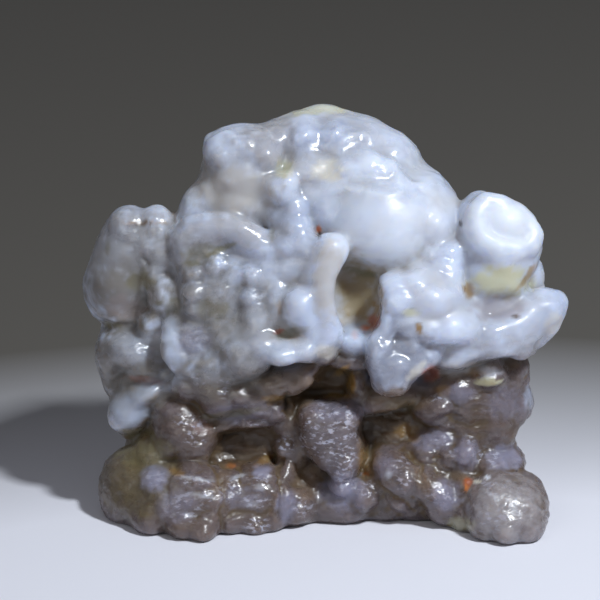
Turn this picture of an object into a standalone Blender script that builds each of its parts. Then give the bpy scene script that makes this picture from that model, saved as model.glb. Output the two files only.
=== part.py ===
"""A rough gobi agate: one natural chalcedony stone, modelled as one closed solid.

A milky, lobed cap overhangs a smoky, knobbly lower half that stands on its own two feet and a
rear base. The stone is built from rounded lumps and ridges that are grown into one skin by a
voxel remesh. Hollows are then cut in it, the skin is grown again and softened, and the underside
is cut flat where it rests.

Lumps on the front are placed the way the stone is seen: across (to the right) and up in a view
that looks down on the stone by VIEW_TILT, and back (away from the eye) along the ground. Lumps
on the rear are placed by their true height. Sizes are in millimetres until the mesh is made.
"""

import math

import bmesh
import bpy
from mathutils import Matrix, Vector

MM = 0.001
NODE = "gobi_agate"

# Driving dimensions
VIEW_TILT = math.radians(18.0)
FRONT_FOOT_RISE = 6.2
SKIN_VOXEL = 0.65
SKIN_SOFTENING = 3
RIM_SOFTENING = 1
SKIN_TRIANGLES = 30000
TRIANGLES = 9600
RIDGE_STEP = 0.45
BALL_DIVISIONS = 3
WELD = 0.00002

# Look of the stone
MILK_COLOR = (0.66, 0.69, 0.75, 1.0)
STONE_ROUGHNESS = 0.28

# Rows of front lumps: across, up, back, half width, half depth, half height, lean to the right
LEFT_HORN = (
    (-27.6, 41.0, 3.8, 5.6, 5.6, 5.9),
    (-28.1, 46.1, 2.4, 1.8, 2.6, 1.7),
    (-24.0, 46.4, 2.2, 1.8, 2.6, 1.55),
    (-29.0, 37.4, 4.0, 5.5, 6.5, 5.6, 10),
    (-30.4, 35.2, 4.0, 4.2, 5.5, 3.9),
    (-24.8, 43.0, 2.2, 3.2, 4.6, 2.4),
    (-23.2, 41.2, 0.8, 2.6, 4.0, 3.6),
    (-22.2, 43.8, 2.2, 2.4, 3.6, 2.3),
    (-22.9, 36.0, -1.0, 2.4, 4.0, 2.7),
    (-28.6, 32.8, 3.0, 4.2, 5.5, 2.6),
    (-25.3, 30.9, -1.8, 1.6, 3.5, 2.2),
)

LEFT_STACK = (
    (-27.6, 27.2, -1.6, 3.9, 5.0, 3.2),
    (-30.8, 26.8, 1.0, 2.4, 5.0, 3.9),
    (-29.4, 22.8, 1.2, 2.7, 5.0, 2.8),
    (-27.2, 23.0, -1.6, 2.6, 4.4, 2.2),
    (-25.4, 25.2, -2.2, 2.8, 4.6, 2.2),
    (-28.0, 18.4, -4.6, 3.3, 4.4, 3.2),
    (-25.4, 21.4, -5.6, 3.1, 3.6, 1.6, -32),
    (-27.6, 16.6, -1.0, 2.5, 4.0, 2.0),
    (-24.0, 17.5, -0.5, 3.0, 5.0, 3.4),
    (-23.4, 28.4, 0.6, 3.0, 4.0, 5.0),
    (-22.8, 22.2, -2.4, 2.6, 4.4, 3.4),
)

SHOULDER = (
    (-18.7, 46.0, 2.2, 2.5, 4.5, 4.6, 6),
    (-12.1, 52.6, 5.0, 5.6, 7.0, 5.6),
    (-14.9, 55.9, 4.5, 2.7, 5.0, 2.3),
    (-11.7, 56.4, 5.0, 3.5, 5.0, 2.9),
    (-12.6, 48.2, 2.8, 4.9, 6.0, 3.8),
    (-8.6, 55.6, 4.5, 2.9, 5.0, 2.7),
    (-8.0, 51.0, 3.5, 2.3, 5.0, 3.4),
    (-7.1, 50.2, -0.9, 1.0, 1.8, 1.2),
    (-5.2, 51.2, -0.4, 1.5, 2.4, 1.5),
)

CREST = (
    (-6.8, 57.4, 6.5, 3.2, 4.5, 2.4, -16),
    (-3.2, 57.6, 7.0, 3.4, 5.0, 3.4),
    (-3.2, 59.2, 10.5, 5.0, 2.4, 1.9, -12),
    (-0.4, 60.4, 11.0, 2.5, 2.2, 1.8),
    (3.4, 59.6, 11.0, 4.2, 2.2, 1.5, 8),
    (1.9, 57.2, 7.0, 3.8, 5.0, 3.1),
    (6.0, 57.0, 8.0, 3.4, 5.0, 3.3),
    (9.6, 55.4, 8.0, 3.2, 5.0, 3.2),
    (11.4, 54.0, 8.0, 2.2, 4.6, 2.4),
    (-2.0, 53.6, 4.5, 4.4, 5.5, 3.2),
    (4.0, 54.4, 4.8, 5.0, 4.6, 2.8),
)

GREAT_DOME = (
    (7.8, 45.4, 2.5, 9.3, 9.5, 8.0),
    (4.6, 51.0, 3.4, 4.3, 5.5, 2.9),
    (9.0, 50.4, 3.0, 3.4, 5.5, 3.1),
    (0.6, 47.2, 1.0, 2.4, 4.5, 3.9),
    (14.0, 49.4, 5.0, 4.0, 6.0, 4.0),
    (15.4, 45.0, 1.5, 3.6, 6.0, 4.6),
    (17.6, 46.4, 3.5, 2.0, 5.0, 3.4),
)

MIDDLE_BUMPS = (
    (-4.2, 48.4, 0.0, 1.7, 2.8, 1.6),
    (-7.4, 47.8, 2.6, 2.8, 4.4, 3.2),
    (-2.0, 50.2, 2.6, 2.8, 4.4, 2.8),
    (-5.4, 47.8, 1.6, 2.8, 4.0, 3.4),
    (-4.4, 45.0, -1.4, 2.8, 4.0, 2.4),
    (-6.9, 46.4, 0.8, 1.2, 2.4, 1.2),
    (-2.6, 41.6, -4.0, 2.4, 3.6, 1.8),
    (-4.2, 39.4, -3.8, 3.4, 4.2, 3.2),
    (-8.2, 40.4, -2.2, 3.0, 4.2, 3.2),
    (-8.0, 37.2, -3.4, 3.2, 4.6, 3.8),
    (-6.8, 33.6, -6.2, 2.2, 4.0, 3.8),
)

HAND = (
    (-16.4, 43.0, -0.2, 4.8, 4.8, 3.6),
    (-11.2, 42.4, -0.6, 2.9, 4.6, 3.2),
    (-20.0, 41.6, -1.2, 2.2, 3.8, 4.2),
    (-15.6, 39.2, -4.2, 1.7, 2.8, 1.9),
    (-12.9, 38.0, -3.8, 1.9, 3.2, 3.0),
    (-10.5, 38.0, -5.4, 1.7, 2.8, 1.7),
    (-10.5, 35.0, -6.2, 1.8, 2.8, 1.6),
    (-18.8, 38.3, -3.9, 1.6, 2.8, 1.3),
    (-18.7, 35.8, -5.2, 1.9, 3.0, 1.5),
    (-18.6, 33.5, -5.6, 1.7, 2.8, 1.2),
    (-14.4, 35.6, -4.6, 2.4, 3.4, 2.2),
    (-15.0, 33.2, -3.8, 4.8, 4.6, 5.8),
    (-20.8, 33.4, -2.6, 2.0, 3.6, 2.6),
    (-18.6, 28.4, -7.0, 2.9, 3.6, 3.4),
    (-14.2, 29.4, -6.6, 3.4, 4.4, 3.4),
    (-9.8, 31.2, -6.4, 3.0, 4.4, 4.0),
    (-15.4, 25.4, -7.6, 4.8, 4.6, 3.6),
    (-11.4, 26.8, -8.2, 4.0, 4.8, 3.6),
    (-9.0, 28.2, -9.2, 2.6, 3.8, 2.2),
    (-6.2, 27.0, -10.4, 2.9, 4.0, 1.9),
    (-2.8, 27.6, -9.8, 2.4, 3.6, 2.1),
    (-19.6, 22.6, -5.8, 2.8, 4.2, 2.4, 20),
    (-15.4, 20.8, -7.2, 3.0, 4.2, 2.9),
    (-16.6, 22.8, -7.4, 2.4, 3.6, 2.0),
    (-12.2, 21.6, -7.2, 2.8, 4.2, 2.2),
)

HAND_LEDGES = (
    (-9.4, 21.2, -6.6, 2.6, 4.0, 2.0, -12),
    (-7.0, 23.6, -7.2, 4.2, 3.8, 1.4, -16),
    (-2.6, 24.9, -6.6, 2.6, 3.6, 1.2, -16),
    (-10.4, 17.4, -6.6, 3.0, 4.0, 1.2, -6),
    (-14.2, 17.2, -5.8, 2.4, 4.0, 1.2, -18),
    (-16.4, 18.6, -4.8, 2.2, 3.6, 1.8),
    (-12.4, 19.2, -5.2, 2.8, 3.6, 1.6),
    (-6.8, 19.2, -5.8, 2.3, 4.0, 1.9),
    (-5.6, 16.6, -5.4, 2.4, 4.0, 2.4),
    (-8.8, 16.0, -3.6, 3.0, 4.0, 2.4),
)

KNOB_AND_FINGER = (
    (-3.4, 33.6, -10.2, 3.0, 4.0, 3.0),
    (-3.0, 31.8, -10.4, 2.4, 3.8, 1.8),
    (-0.6, 30.0, -9.4, 1.9, 3.6, 2.2),
    (-1.4, 37.4, -6.0, 2.4, 4.2, 3.6),
    (4.0, 29.2, -5.4, 2.4, 3.6, 2.0),
    (3.4, 26.2, -6.2, 3.4, 4.0, 1.7),
    (4.8, 22.4, -4.6, 1.9, 4.0, 3.4),
    (0.0, 26.6, -8.2, 1.6, 3.0, 1.3, -25),
)

RIGHT_LUMP = (
    (10.2, 35.0, -7.4, 3.6, 5.0, 2.9),
    (9.6, 36.9, -8.2, 2.4, 2.8, 1.2),
    (12.8, 37.3, -8.4, 1.6, 2.4, 1.0),
    (15.0, 35.0, -7.6, 3.6, 4.8, 2.9),
    (17.6, 34.6, -5.4, 2.6, 4.6, 4.0),
    (17.8, 38.6, -3.6, 2.2, 4.0, 2.6),
    (15.2, 41.2, -3.8, 1.3, 2.4, 1.2),
    (17.8, 41.8, -3.0, 1.6, 2.8, 1.4),
    (16.9, 39.5, -4.8, 1.2, 2.4, 1.0),
    (13.3, 38.9, -5.2, 1.1, 2.2, 0.9),
    (15.2, 37.9, -6.0, 1.3, 2.6, 1.1),
    (14.6, 30.8, -8.6, 3.0, 4.4, 2.5),
    (17.8, 30.9, -8.2, 3.3, 4.6, 2.9),
    (20.0, 30.8, -6.6, 2.3, 4.4, 2.7),
    (8.6, 31.4, -8.6, 1.7, 4.0, 3.4),
    (7.2, 28.4, -9.6, 1.6, 3.6, 2.6),
    (11.2, 28.6, -9.2, 2.6, 3.6, 1.9),
)

TONGUE = (
    (8.6, 25.0, -10.2, 2.6, 4.0, 4.3),
    (10.2, 23.8, -10.4, 2.2, 3.8, 3.1),
    (12.4, 25.8, -9.6, 2.9, 4.0, 2.3, -30),
    (14.6, 26.7, -8.6, 2.6, 4.0, 1.7, -30),
    (7.3, 26.6, -12.2, 1.2, 2.0, 2.8),
    (10.3, 25.2, -12.8, 1.4, 1.6, 1.4),
    (12.9, 26.8, -11.4, 1.3, 1.6, 1.2),
    (18.0, 26.4, -6.2, 3.0, 4.2, 1.5),
)

TOOTH = (
    (25.0, 43.9, -0.5, 5.5, 5.6, 5.0),
    (26.0, 42.4, 0.0, 5.2, 5.2, 4.4, 28),
    (24.9, 40.2, -0.5, 5.3, 5.4, 4.2),
    (24.4, 38.6, -0.8, 4.9, 5.0, 3.4),
    (22.6, 37.2, -1.0, 2.8, 4.4, 2.1),
    (26.3, 37.4, -0.8, 2.5, 4.4, 2.2),
    (21.8, 46.2, -1.6, 2.3, 3.8, 3.7),
    (24.6, 33.2, 0.4, 4.0, 4.4, 2.8),
    (28.1, 35.2, -1.2, 1.0, 2.6, 1.1),
    (29.7, 37.8, 3.6, 1.6, 3.2, 2.3),
)

WING = (
    (28.4, 29.8, -3.0, 3.3, 4.2, 2.1, -30),
    (31.9, 33.4, -1.0, 2.6, 4.4, 2.4),
    (32.0, 31.4, 0.0, 1.8, 4.2, 2.2),
    (30.2, 29.7, 0.0, 2.1, 4.2, 1.8),
    (19.6, 27.8, -5.8, 3.4, 4.4, 1.9),
    (24.2, 28.2, -5.2, 4.2, 4.4, 1.9),
    (28.0, 28.0, -2.8, 2.2, 4.6, 1.8),
)

LOWER_RIGHT = (
    (26.2, 24.2, 0.2, 3.2, 5.0, 3.2),
    (23.8, 7.8, -5.5, 3.8, 5.0, 4.2),
    (24.4, 21.4, -1.6, 2.8, 4.4, 2.4),
    (26.4, 19.7, -0.6, 3.6, 5.4, 3.2),
    (23.6, 18.3, -2.6, 3.4, 4.6, 2.6),
    (23.3, 23.4, -6.0, 2.2, 2.6, 1.25),
    (23.9, 24.7, -5.4, 1.0, 2.0, 0.8),
    (18.8, 22.0, -5.6, 2.2, 3.0, 1.6, 15),
    (21.2, 20.4, -5.8, 1.1, 2.2, 0.9),
    (19.8, 19.6, -5.4, 1.9, 3.2, 1.5),
    (20.8, 22.6, -3.4, 2.6, 3.6, 2.2),
    (16.4, 22.6, -3.6, 2.6, 3.6, 2.0),
    (14.6, 19.3, -5.6, 2.7, 3.6, 1.3, -15),
    (17.0, 17.6, -5.4, 2.6, 3.6, 1.3),
    (19.8, 17.2, -4.6, 2.2, 3.6, 1.6),
    (11.6, 21.4, -3.8, 2.6, 4.0, 1.8),
    (8.0, 19.7, -5.0, 3.6, 4.2, 1.8),
    (13.0, 17.4, -2.2, 4.0, 4.0, 3.0),
    (23.9, 15.4, -3.4, 2.6, 4.6, 2.4),
    (16.2, 15.0, -6.2, 2.4, 3.6, 1.3),
    (14.3, 13.2, -6.8, 2.4, 4.0, 1.7),
    (17.6, 12.6, -7.8, 1.7, 3.8, 1.7),
    (20.0, 12.6, -8.2, 2.0, 4.0, 2.8, 12),
    (23.6, 11.3, -7.6, 2.9, 4.4, 1.7),
    (26.1, 11.2, -5.6, 2.5, 5.0, 2.1),
    (16.2, 10.4, -6.4, 3.6, 4.4, 2.6),
    (9.2, 10.0, -8.8, 3.3, 4.8, 3.7),
    (11.4, 9.0, -11.0, 2.3, 3.8, 2.5),
    (14.0, 8.6, -10.6, 2.4, 4.0, 2.3),
    (10.8, 6.5, -9.8, 3.0, 4.0, 2.0, 20),
    (15.8, 7.4, -11.2, 2.2, 3.8, 1.9),
    (17.0, 5.4, -11.0, 2.9, 4.4, 3.4),
    (19.6, 3.4, -12.0, 2.0, 4.4, 3.2),
    (20.2, 6.4, -10.6, 2.2, 4.0, 3.4),
    (19.8, 8.9, -9.2, 2.2, 3.6, 2.0),
    (13.0, 5.4, -6.6, 4.6, 5.2, 4.6),
    (5.6, 11.0, -4.4, 2.6, 4.4, 4.4),
)

RIGHT_FOOT = (
    (26.2, 4.5, -13.4, 4.8, 7.4, 4.8),
    (22.8, 5.8, -13.8, 2.6, 4.6, 3.2),
    (28.2, 7.3, -11.4, 2.3, 5.0, 1.9),
    (22.6, 2.6, -16.0, 2.2, 4.4, 2.6),
    (25.6, 2.0, -18.0, 2.4, 4.2, 2.4),
    (28.6, 2.2, -16.4, 2.5, 4.6, 2.8),
)

MIDDLE_FOOT = (
    (-1.0, 16.0, -8.0, 2.9, 4.2, 3.3),
    (2.2, 15.8, -8.4, 2.9, 4.4, 3.7),
    (0.8, 14.2, -8.2, 3.9, 4.8, 4.4),
    (-0.6, 12.6, -8.8, 2.6, 4.6, 2.8),
    (2.8, 11.6, -9.6, 2.3, 4.4, 3.0, 10),
    (1.4, 18.2, -7.4, 3.6, 4.0, 1.5, -8),
    (4.0, 17.5, -9.2, 1.5, 2.8, 1.0),
    (-3.9, 14.0, -6.6, 1.7, 3.6, 3.4),
    (2.6, 8.2, -10.0, 1.8, 3.6, 1.4),
    (5.6, 6.8, -10.2, 2.4, 4.0, 2.2, 20),
    (2.8, 5.0, -8.8, 3.8, 4.6, 3.4),
    (0.0, 6.2, -8.4, 2.2, 4.4, 3.6),
    (8.8, 5.0, -7.4, 3.2, 4.6, 3.6),
    (4.0, 5.6, -6.5, 9.0, 4.8, 4.6),
    (-3.6, 5.2, -8.2, 4.2, 4.8, 4.6),
)

LEFT_FOOT = (
    (-27.2, 7.6, -6.0, 5.1, 7.5, 5.8),
    (-24.4, 12.4, -6.4, 3.0, 4.8, 2.8),
    (-24.2, 8.6, -11.0, 2.3, 3.8, 2.1),
    (-29.0, 4.6, -7.0, 2.8, 5.6, 2.9),
    (-24.8, 3.4, -13.2, 2.9, 4.8, 2.9),
    (-22.0, 5.4, -13.2, 2.3, 4.2, 2.6),
    (-20.6, 16.6, -6.8, 3.9, 5.0, 3.7),
    (-19.4, 14.4, -7.4, 3.8, 4.8, 3.4),
    (-22.2, 14.6, -6.2, 2.8, 4.6, 3.4),
    (-21.8, 19.4, -5.8, 2.6, 4.2, 1.6),
    (-16.9, 14.2, -8.2, 1.6, 3.2, 2.2, 35),
    (-18.9, 6.8, -12.8, 2.9, 4.2, 2.1),
    (-16.4, 4.8, -13.8, 2.2, 4.0, 2.4),
    (-16.6, 8.2, -10.8, 2.2, 4.0, 2.2),
    (-20.2, 2.6, -15.4, 2.5, 4.4, 2.5),
    (-17.4, 2.0, -16.4, 2.3, 4.4, 2.2),
    (-19.6, 9.8, -9.0, 3.4, 4.4, 2.0),
    (-18.6, 5.6, -11.2, 7.4, 5.4, 5.2),
    (-25.4, 5.4, -9.0, 4.2, 6.0, 4.6),
)

LEFT_FOOT_ROW = (
    (-13.6, 8.9, -9.8, 2.1, 4.0, 1.9),
    (-13.2, 6.1, -12.0, 1.9, 3.6, 1.8),
    (-13.4, 3.1, -13.6, 2.4, 4.0, 2.3),
    (-9.9, 5.7, -12.2, 1.9, 3.4, 1.3),
    (-8.8, 8.4, -10.4, 1.4, 3.0, 1.3),
    (-9.2, 10.4, -8.8, 1.4, 3.0, 1.3),
    (-11.4, 9.4, -9.0, 1.5, 3.0, 1.5),
    (-7.2, 5.8, -11.2, 1.6, 3.4, 2.1),
    (-10.0, 2.6, -13.6, 2.4, 4.0, 2.2),
    (-7.4, 3.6, -12.4, 1.9, 4.0, 2.4),
    (-5.7, 13.5, -7.6, 1.5, 2.8, 1.4),
    (-3.8, 6.9, -10.6, 1.6, 3.2, 1.2),
    (-4.0, 4.8, -11.0, 2.1, 4.0, 2.6),
    (-5.4, 10.2, -8.0, 1.6, 3.6, 2.4),
    (-1.4, 9.4, -8.2, 2.2, 4.4, 3.0),
    (-10.4, 6.0, -9.2, 6.6, 4.8, 5.2),
)

# Ridges: points of across, up, back and radius, with balls along them
RIDGES = (
    # Arch over the left hand's hollow, from its left stem round to the middle saddle
    (
        (-20.4, 40.0, -2.0, 1.8),
        (-20.2, 42.6, -2.0, 1.9),
        (-18.8, 44.3, -2.4, 1.9),
        (-16.4, 44.8, -2.8, 1.9),
        (-14.0, 44.6, -3.2, 1.9),
        (-11.8, 43.8, -3.6, 1.9),
        (-10.0, 42.6, -3.9, 1.9),
        (-8.4, 41.2, -4.2, 1.8),
        (-6.6, 39.6, -4.4, 1.8),
    ),
    # White lip down the left edge of the hand
    (
        (-21.8, 30.2, -7.0, 1.5),
        (-21.8, 28.2, -8.2, 1.6),
        (-21.5, 26.6, -8.8, 1.7),
        (-20.6, 25.4, -9.2, 1.6),
        (-19.0, 24.6, -9.2, 1.5),
    ),
    # Finger left of the deep hollow
    (
        (0.9, 41.6, -6.4, 2.4),
        (0.8, 39.0, -7.6, 2.3),
        (0.3, 36.0, -8.8, 2.0),
        (0.5, 33.0, -9.6, 1.9),
        (0.8, 30.6, -9.8, 1.9),
        (0.7, 29.2, -9.4, 1.8),
    ),
    # Wing that runs out to the right under the tooth
    (
        (21.0, 29.4, -7.4, 2.4),
        (24.0, 29.2, -7.6, 2.2),
        (26.8, 30.2, -6.6, 2.1),
        (29.2, 32.0, -4.6, 2.2),
        (31.2, 33.6, -2.6, 2.1),
        (32.8, 33.9, -1.4, 1.7),
    ),
)

# Rows of rear and inner lumps: across, true height, back, half width, half depth, half height
CORE = (
    (0.0, 9.0, 6.0, 25.5, 12.6, 12.0),
    (-4.0, 26.0, 5.6, 26.0, 13.2, 13.0),
    (1.0, 38.0, 8.0, 16.6, 8.6, 12.8),
    (16.0, 27.0, 3.0, 13.0, 11.6, 11.0),
)

REAR_CAP = (
    (-10.5, 44.0, 11.2, 6.6, 6.2, 6.6),
    (-2.0, 47.0, 12.2, 5.6, 5.0, 4.4),
    (7.4, 43.4, 12.6, 7.0, 5.4, 7.0, 20),
    (13.4, 36.8, 11.8, 5.6, 5.0, 5.0),
    (0.5, 38.4, 15.6, 6.4, 3.8, 4.6, -25),
    (-9.8, 35.0, 15.8, 7.4, 4.6, 6.2, 15),
    (-18.8, 33.0, 13.6, 4.4, 4.6, 5.6),
    (-25.4, 31.4, 9.2, 6.2, 5.8, 7.2),
    (-27.4, 22.4, 7.6, 5.0, 5.6, 6.0),
    (-19.4, 24.0, 14.2, 6.2, 5.2, 5.2, -20),
    (-11.4, 25.0, 17.6, 3.8, 3.8, 4.4),
    (-3.4, 28.0, 17.2, 5.2, 4.6, 6.6, 10),
    (5.4, 31.4, 16.4, 5.4, 4.4, 4.6),
    (3.8, 23.6, 17.6, 4.4, 4.0, 3.4),
    (14.4, 28.0, 14.2, 6.2, 5.0, 6.6, -15),
    (21.4, 33.2, 7.4, 5.6, 6.2, 7.0),
    (26.4, 26.6, 5.2, 5.2, 5.4, 5.8),
    (22.4, 21.8, 10.4, 4.6, 5.0, 4.6),
    (9.6, 37.4, 15.4, 2.6, 2.8, 2.4),
    (-15.0, 38.8, 14.4, 3.0, 3.0, 2.6),
    (-8.6, 28.6, 19.0, 2.0, 2.4, 1.8),
    (1.0, 48.4, 10.8, 6.0, 3.8, 4.6),
    (-7.0, 20.8, 16.8, 3.2, 3.2, 3.0),
    (14.6, 20.2, 14.0, 3.6, 3.6, 3.2),
)

REAR_FOOT = (
    (-24.6, 12.4, 6.6, 4.4, 5.4, 5.4),
    (-21.0, 14.0, 12.0, 4.8, 5.0, 4.8),
    (-14.0, 13.8, 16.0, 4.8, 4.6, 5.2, 15),
    (-7.0, 16.4, 17.8, 3.8, 3.8, 3.6),
    (0.6, 12.6, 18.0, 5.4, 4.0, 6.0, -10),
    (8.8, 14.2, 16.8, 4.2, 4.2, 4.4),
    (14.8, 13.6, 14.8, 3.6, 4.4, 4.0),
    (18.6, 8.6, 11.6, 4.4, 5.0, 5.2),
    (21.8, 14.0, 9.0, 4.4, 5.0, 4.8),
    (24.0, 4.2, 1.0, 3.8, 6.0, 3.6),
    (21.8, 4.2, 6.6, 4.4, 5.4, 5.0),
    (-24.4, 4.0, 6.2, 4.6, 6.0, 5.0),
    (-18.4, 5.4, 12.4, 4.6, 5.4, 5.4),
    (-10.4, 4.6, 15.8, 5.6, 5.0, 5.6),
    (-3.4, 3.0, 16.8, 3.8, 4.6, 4.2),
    (4.2, 3.0, 16.8, 4.4, 4.6, 4.4),
    (11.4, 5.4, 14.6, 4.6, 5.0, 5.6),
    (15.6, 2.4, 11.6, 4.0, 5.2, 4.0),
)

# Hollows cut into the front, placed like the front lumps
HOLLOWS = (
    # Deep brown hollow between the finger and the right lump
    (4.4, 35.4, -6.4, 2.0, 8.0, 3.4),
    (5.2, 33.2, -6.4, 2.3, 8.0, 2.7),
    # Round hole under the hand
    (0.7, 22.6, -5.4, 2.6, 6.5, 2.0),
    # Dish in the tooth's crown
    (27.2, 45.0, -8.0, 3.7, 3.6, 2.6, 22),
    # Pit in the right lump
    (11.8, 31.6, -13.0, 1.5, 3.0, 1.2),
    # Dark recess over the left foot
    (-11.4, 13.6, -5.4, 4.0, 6.0, 2.2),
    # Dark recess over the middle knob
    (9.2, 16.0, -5.0, 3.8, 6.0, 1.8, -5),
    # Brown pocket between the tongue and the drips
    (14.2, 22.6, -5.6, 1.7, 3.6, 1.2, -35),
)

# Hollows cut into the rear, placed by true height
REAR_HOLLOWS = (
    (-14.8, 20.4, 19.6, 3.4, 3.4, 1.5, 8),
    (10.6, 22.4, 19.4, 3.2, 3.4, 1.9, -12),
    (-3.6, 35.2, 21.6, 2.2, 2.6, 1.5, -30),
    (17.6, 20.6, 15.4, 2.4, 3.4, 1.6, 25),
    (-22.6, 27.6, 17.0, 1.8, 3.2, 2.4, 15),
)


def seen_point(across, up, back):
    """World place of a point given as it is seen in the tilted view."""
    height = (up - FRONT_FOOT_RISE - back * math.sin(VIEW_TILT)) / math.cos(VIEW_TILT)
    return Vector((across, back, height))


def lump_matrix(center, wide, deep, tall, lean=0.0):
    """Matrix that turns a unit ball into a lump at its place, in metres."""
    turn = Matrix.Rotation(math.radians(lean), 4, "Y")
    size = Matrix.Diagonal((wide, deep, tall, 1.0))
    return Matrix.Scale(MM, 4) @ Matrix.Translation(center) @ turn @ size


def seen_lumps(rows):
    """Matrices of lumps placed as they are seen from the front."""
    return [lump_matrix(seen_point(*row[:3]), *row[3:]) for row in rows]


def rear_lumps(rows):
    """Matrices of lumps placed by their true height."""
    return [lump_matrix(Vector((row[0], row[2], row[1])), *row[3:]) for row in rows]


def ridge_lumps(ridge):
    """Matrices of the balls along one ridge, each step a share of the radius there."""
    balls = []
    for start, end in zip(ridge, ridge[1:]):
        first, last = seen_point(*start[:3]), seen_point(*end[:3])
        radius = (start[3] + end[3]) / 2
        steps = max(1, round((last - first).length / (radius * RIDGE_STEP)))
        for step in range(steps + 1):
            share = step / steps
            width = start[3] + (end[3] - start[3]) * share
            balls.append(lump_matrix(first.lerp(last, share), width, width, width))
    return balls


def ball_mesh(name, matrices):
    """One mesh that holds a ball for each matrix."""
    ball = bmesh.new()
    bmesh.ops.create_icosphere(ball, subdivisions=BALL_DIVISIONS, radius=1.0)
    unit = [vertex.co.copy() for vertex in ball.verts]
    sides = [[vertex.index for vertex in face.verts] for face in ball.faces]
    ball.free()
    points = [matrix @ point for matrix in matrices for point in unit]
    starts = range(0, len(points), len(unit))
    faces = [[start + corner for corner in side] for start in starts for side in sides]
    mesh = bpy.data.meshes.new(name)
    mesh.from_pydata(points, [], faces)
    return mesh


def stone_material():
    """Milky chalcedony: pale blue-grey with a waxy gloss."""
    material = bpy.data.materials.new("milky_chalcedony")
    material.use_nodes = True
    surface = material.node_tree.nodes["Principled BSDF"]
    surface.inputs["Base Color"].default_value = MILK_COLOR
    surface.inputs["Roughness"].default_value = STONE_ROUGHNESS
    surface.inputs["Metallic"].default_value = 0.0
    return material


def add_cutter(name, mesh, collection):
    """A hidden cutter object."""
    cutter = bpy.data.objects.new(name, mesh)
    cutter.hide_render = True
    cutter.display_type = "WIRE"
    collection.objects.link(cutter)
    return cutter


def grow_together(piece):
    """Voxel remesh that turns overlapping balls into one closed skin."""
    grow = piece.modifiers.new("grow_together", "REMESH")
    grow.mode = "VOXEL"
    grow.voxel_size = SKIN_VOXEL * MM


def soften(piece, rounds):
    """Smoothing that takes the steps out of the skin."""
    smooth = piece.modifiers.new("soften", "SMOOTH")
    smooth.factor = 0.5
    smooth.iterations = rounds


def facet(piece, share):
    """Reduction to a share of the triangles."""
    reduce = piece.modifiers.new("facet", "DECIMATE")
    reduce.use_collapse_triangulate = True
    reduce.ratio = share


def cut(piece, name, cutter):
    """Take a cutter's shape away from the piece."""
    difference = piece.modifiers.new(name, "BOOLEAN")
    difference.operation = "DIFFERENCE"
    difference.object = cutter


def bake(piece):
    """Apply the object's modifiers to its mesh."""
    graph = bpy.context.evaluated_depsgraph_get()
    piece.data = bpy.data.meshes.new_from_object(piece.evaluated_get(graph))
    piece.modifiers.clear()


def front_matrices():
    """Matrices of every lump that is placed by the front view."""
    regions = (
        LEFT_HORN,
        LEFT_STACK,
        SHOULDER,
        CREST,
        GREAT_DOME,
        MIDDLE_BUMPS,
        HAND,
        HAND_LEDGES,
        KNOB_AND_FINGER,
        RIGHT_LUMP,
        TONGUE,
        TOOTH,
        WING,
        LOWER_RIGHT,
        RIGHT_FOOT,
        MIDDLE_FOOT,
        LEFT_FOOT,
        LEFT_FOOT_ROW,
    )
    lumps = [matrix for rows in regions for matrix in seen_lumps(rows)]
    ridges = [matrix for ridge in RIDGES for matrix in ridge_lumps(ridge)]
    return lumps + ridges


def make_stone(parts, cutters):
    """The whole stone as one solid."""
    rear = [matrix for rows in (CORE, REAR_CAP, REAR_FOOT) for matrix in rear_lumps(rows)]
    stone = bpy.data.objects.new(NODE, ball_mesh(NODE, front_matrices() + rear))
    parts.objects.link(stone)
    grow_together(stone)
    soften(stone, SKIN_SOFTENING)
    bake(stone)
    facet(stone, SKIN_TRIANGLES / (2 * len(stone.data.polygons)))
    bake(stone)

    pits = seen_lumps(HOLLOWS) + rear_lumps(REAR_HOLLOWS)
    hollows = add_cutter("hollows", ball_mesh("hollows", pits), cutters)
    grow_together(hollows)
    cut(stone, "hollows", hollows)
    bake(stone)
    grow_together(stone)
    soften(stone, RIM_SOFTENING)
    bake(stone)
    facet(stone, TRIANGLES / (2 * len(stone.data.polygons)))
    bake(stone)

    stone.data.materials.append(stone_material())
    return stone


def rest_on_base(stone):
    """Cut the underside flat at the ground and put the origin under the middle of the box."""
    shape = bmesh.new()
    shape.from_mesh(stone.data)
    whole = shape.verts[:] + shape.edges[:] + shape.faces[:]
    cut_line = bmesh.ops.bisect_plane(
        shape, geom=whole, dist=0.0, plane_co=(0, 0, 0), plane_no=(0, 0, 1), clear_inner=True
    )["geom_cut"]
    rim = [item for item in cut_line if isinstance(item, bmesh.types.BMEdge)]
    bmesh.ops.holes_fill(shape, edges=rim)
    for vertex in shape.verts:
        if vertex.co.z < WELD:
            vertex.co.z = 0.0
    bmesh.ops.dissolve_degenerate(shape, dist=WELD, edges=shape.edges)
    bmesh.ops.triangulate(shape, faces=shape.faces)
    bmesh.ops.recalc_face_normals(shape, faces=shape.faces)
    middle_x = (min(v.co.x for v in shape.verts) + max(v.co.x for v in shape.verts)) / 2
    middle_y = (min(v.co.y for v in shape.verts) + max(v.co.y for v in shape.verts)) / 2
    bmesh.ops.translate(shape, vec=(-middle_x, -middle_y, 0.0), verts=shape.verts)
    shape.to_mesh(stone.data)
    shape.free()
    stone.data.shade_smooth()


def main():
    for item in list(bpy.data.objects):
        bpy.data.objects.remove(item)
    parts = bpy.data.collections.new(NODE)
    cutters = bpy.data.collections.new("cutters")
    bpy.context.scene.collection.children.link(parts)
    bpy.context.scene.collection.children.link(cutters)
    stone = make_stone(parts, cutters)
    rest_on_base(stone)


main()
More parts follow.
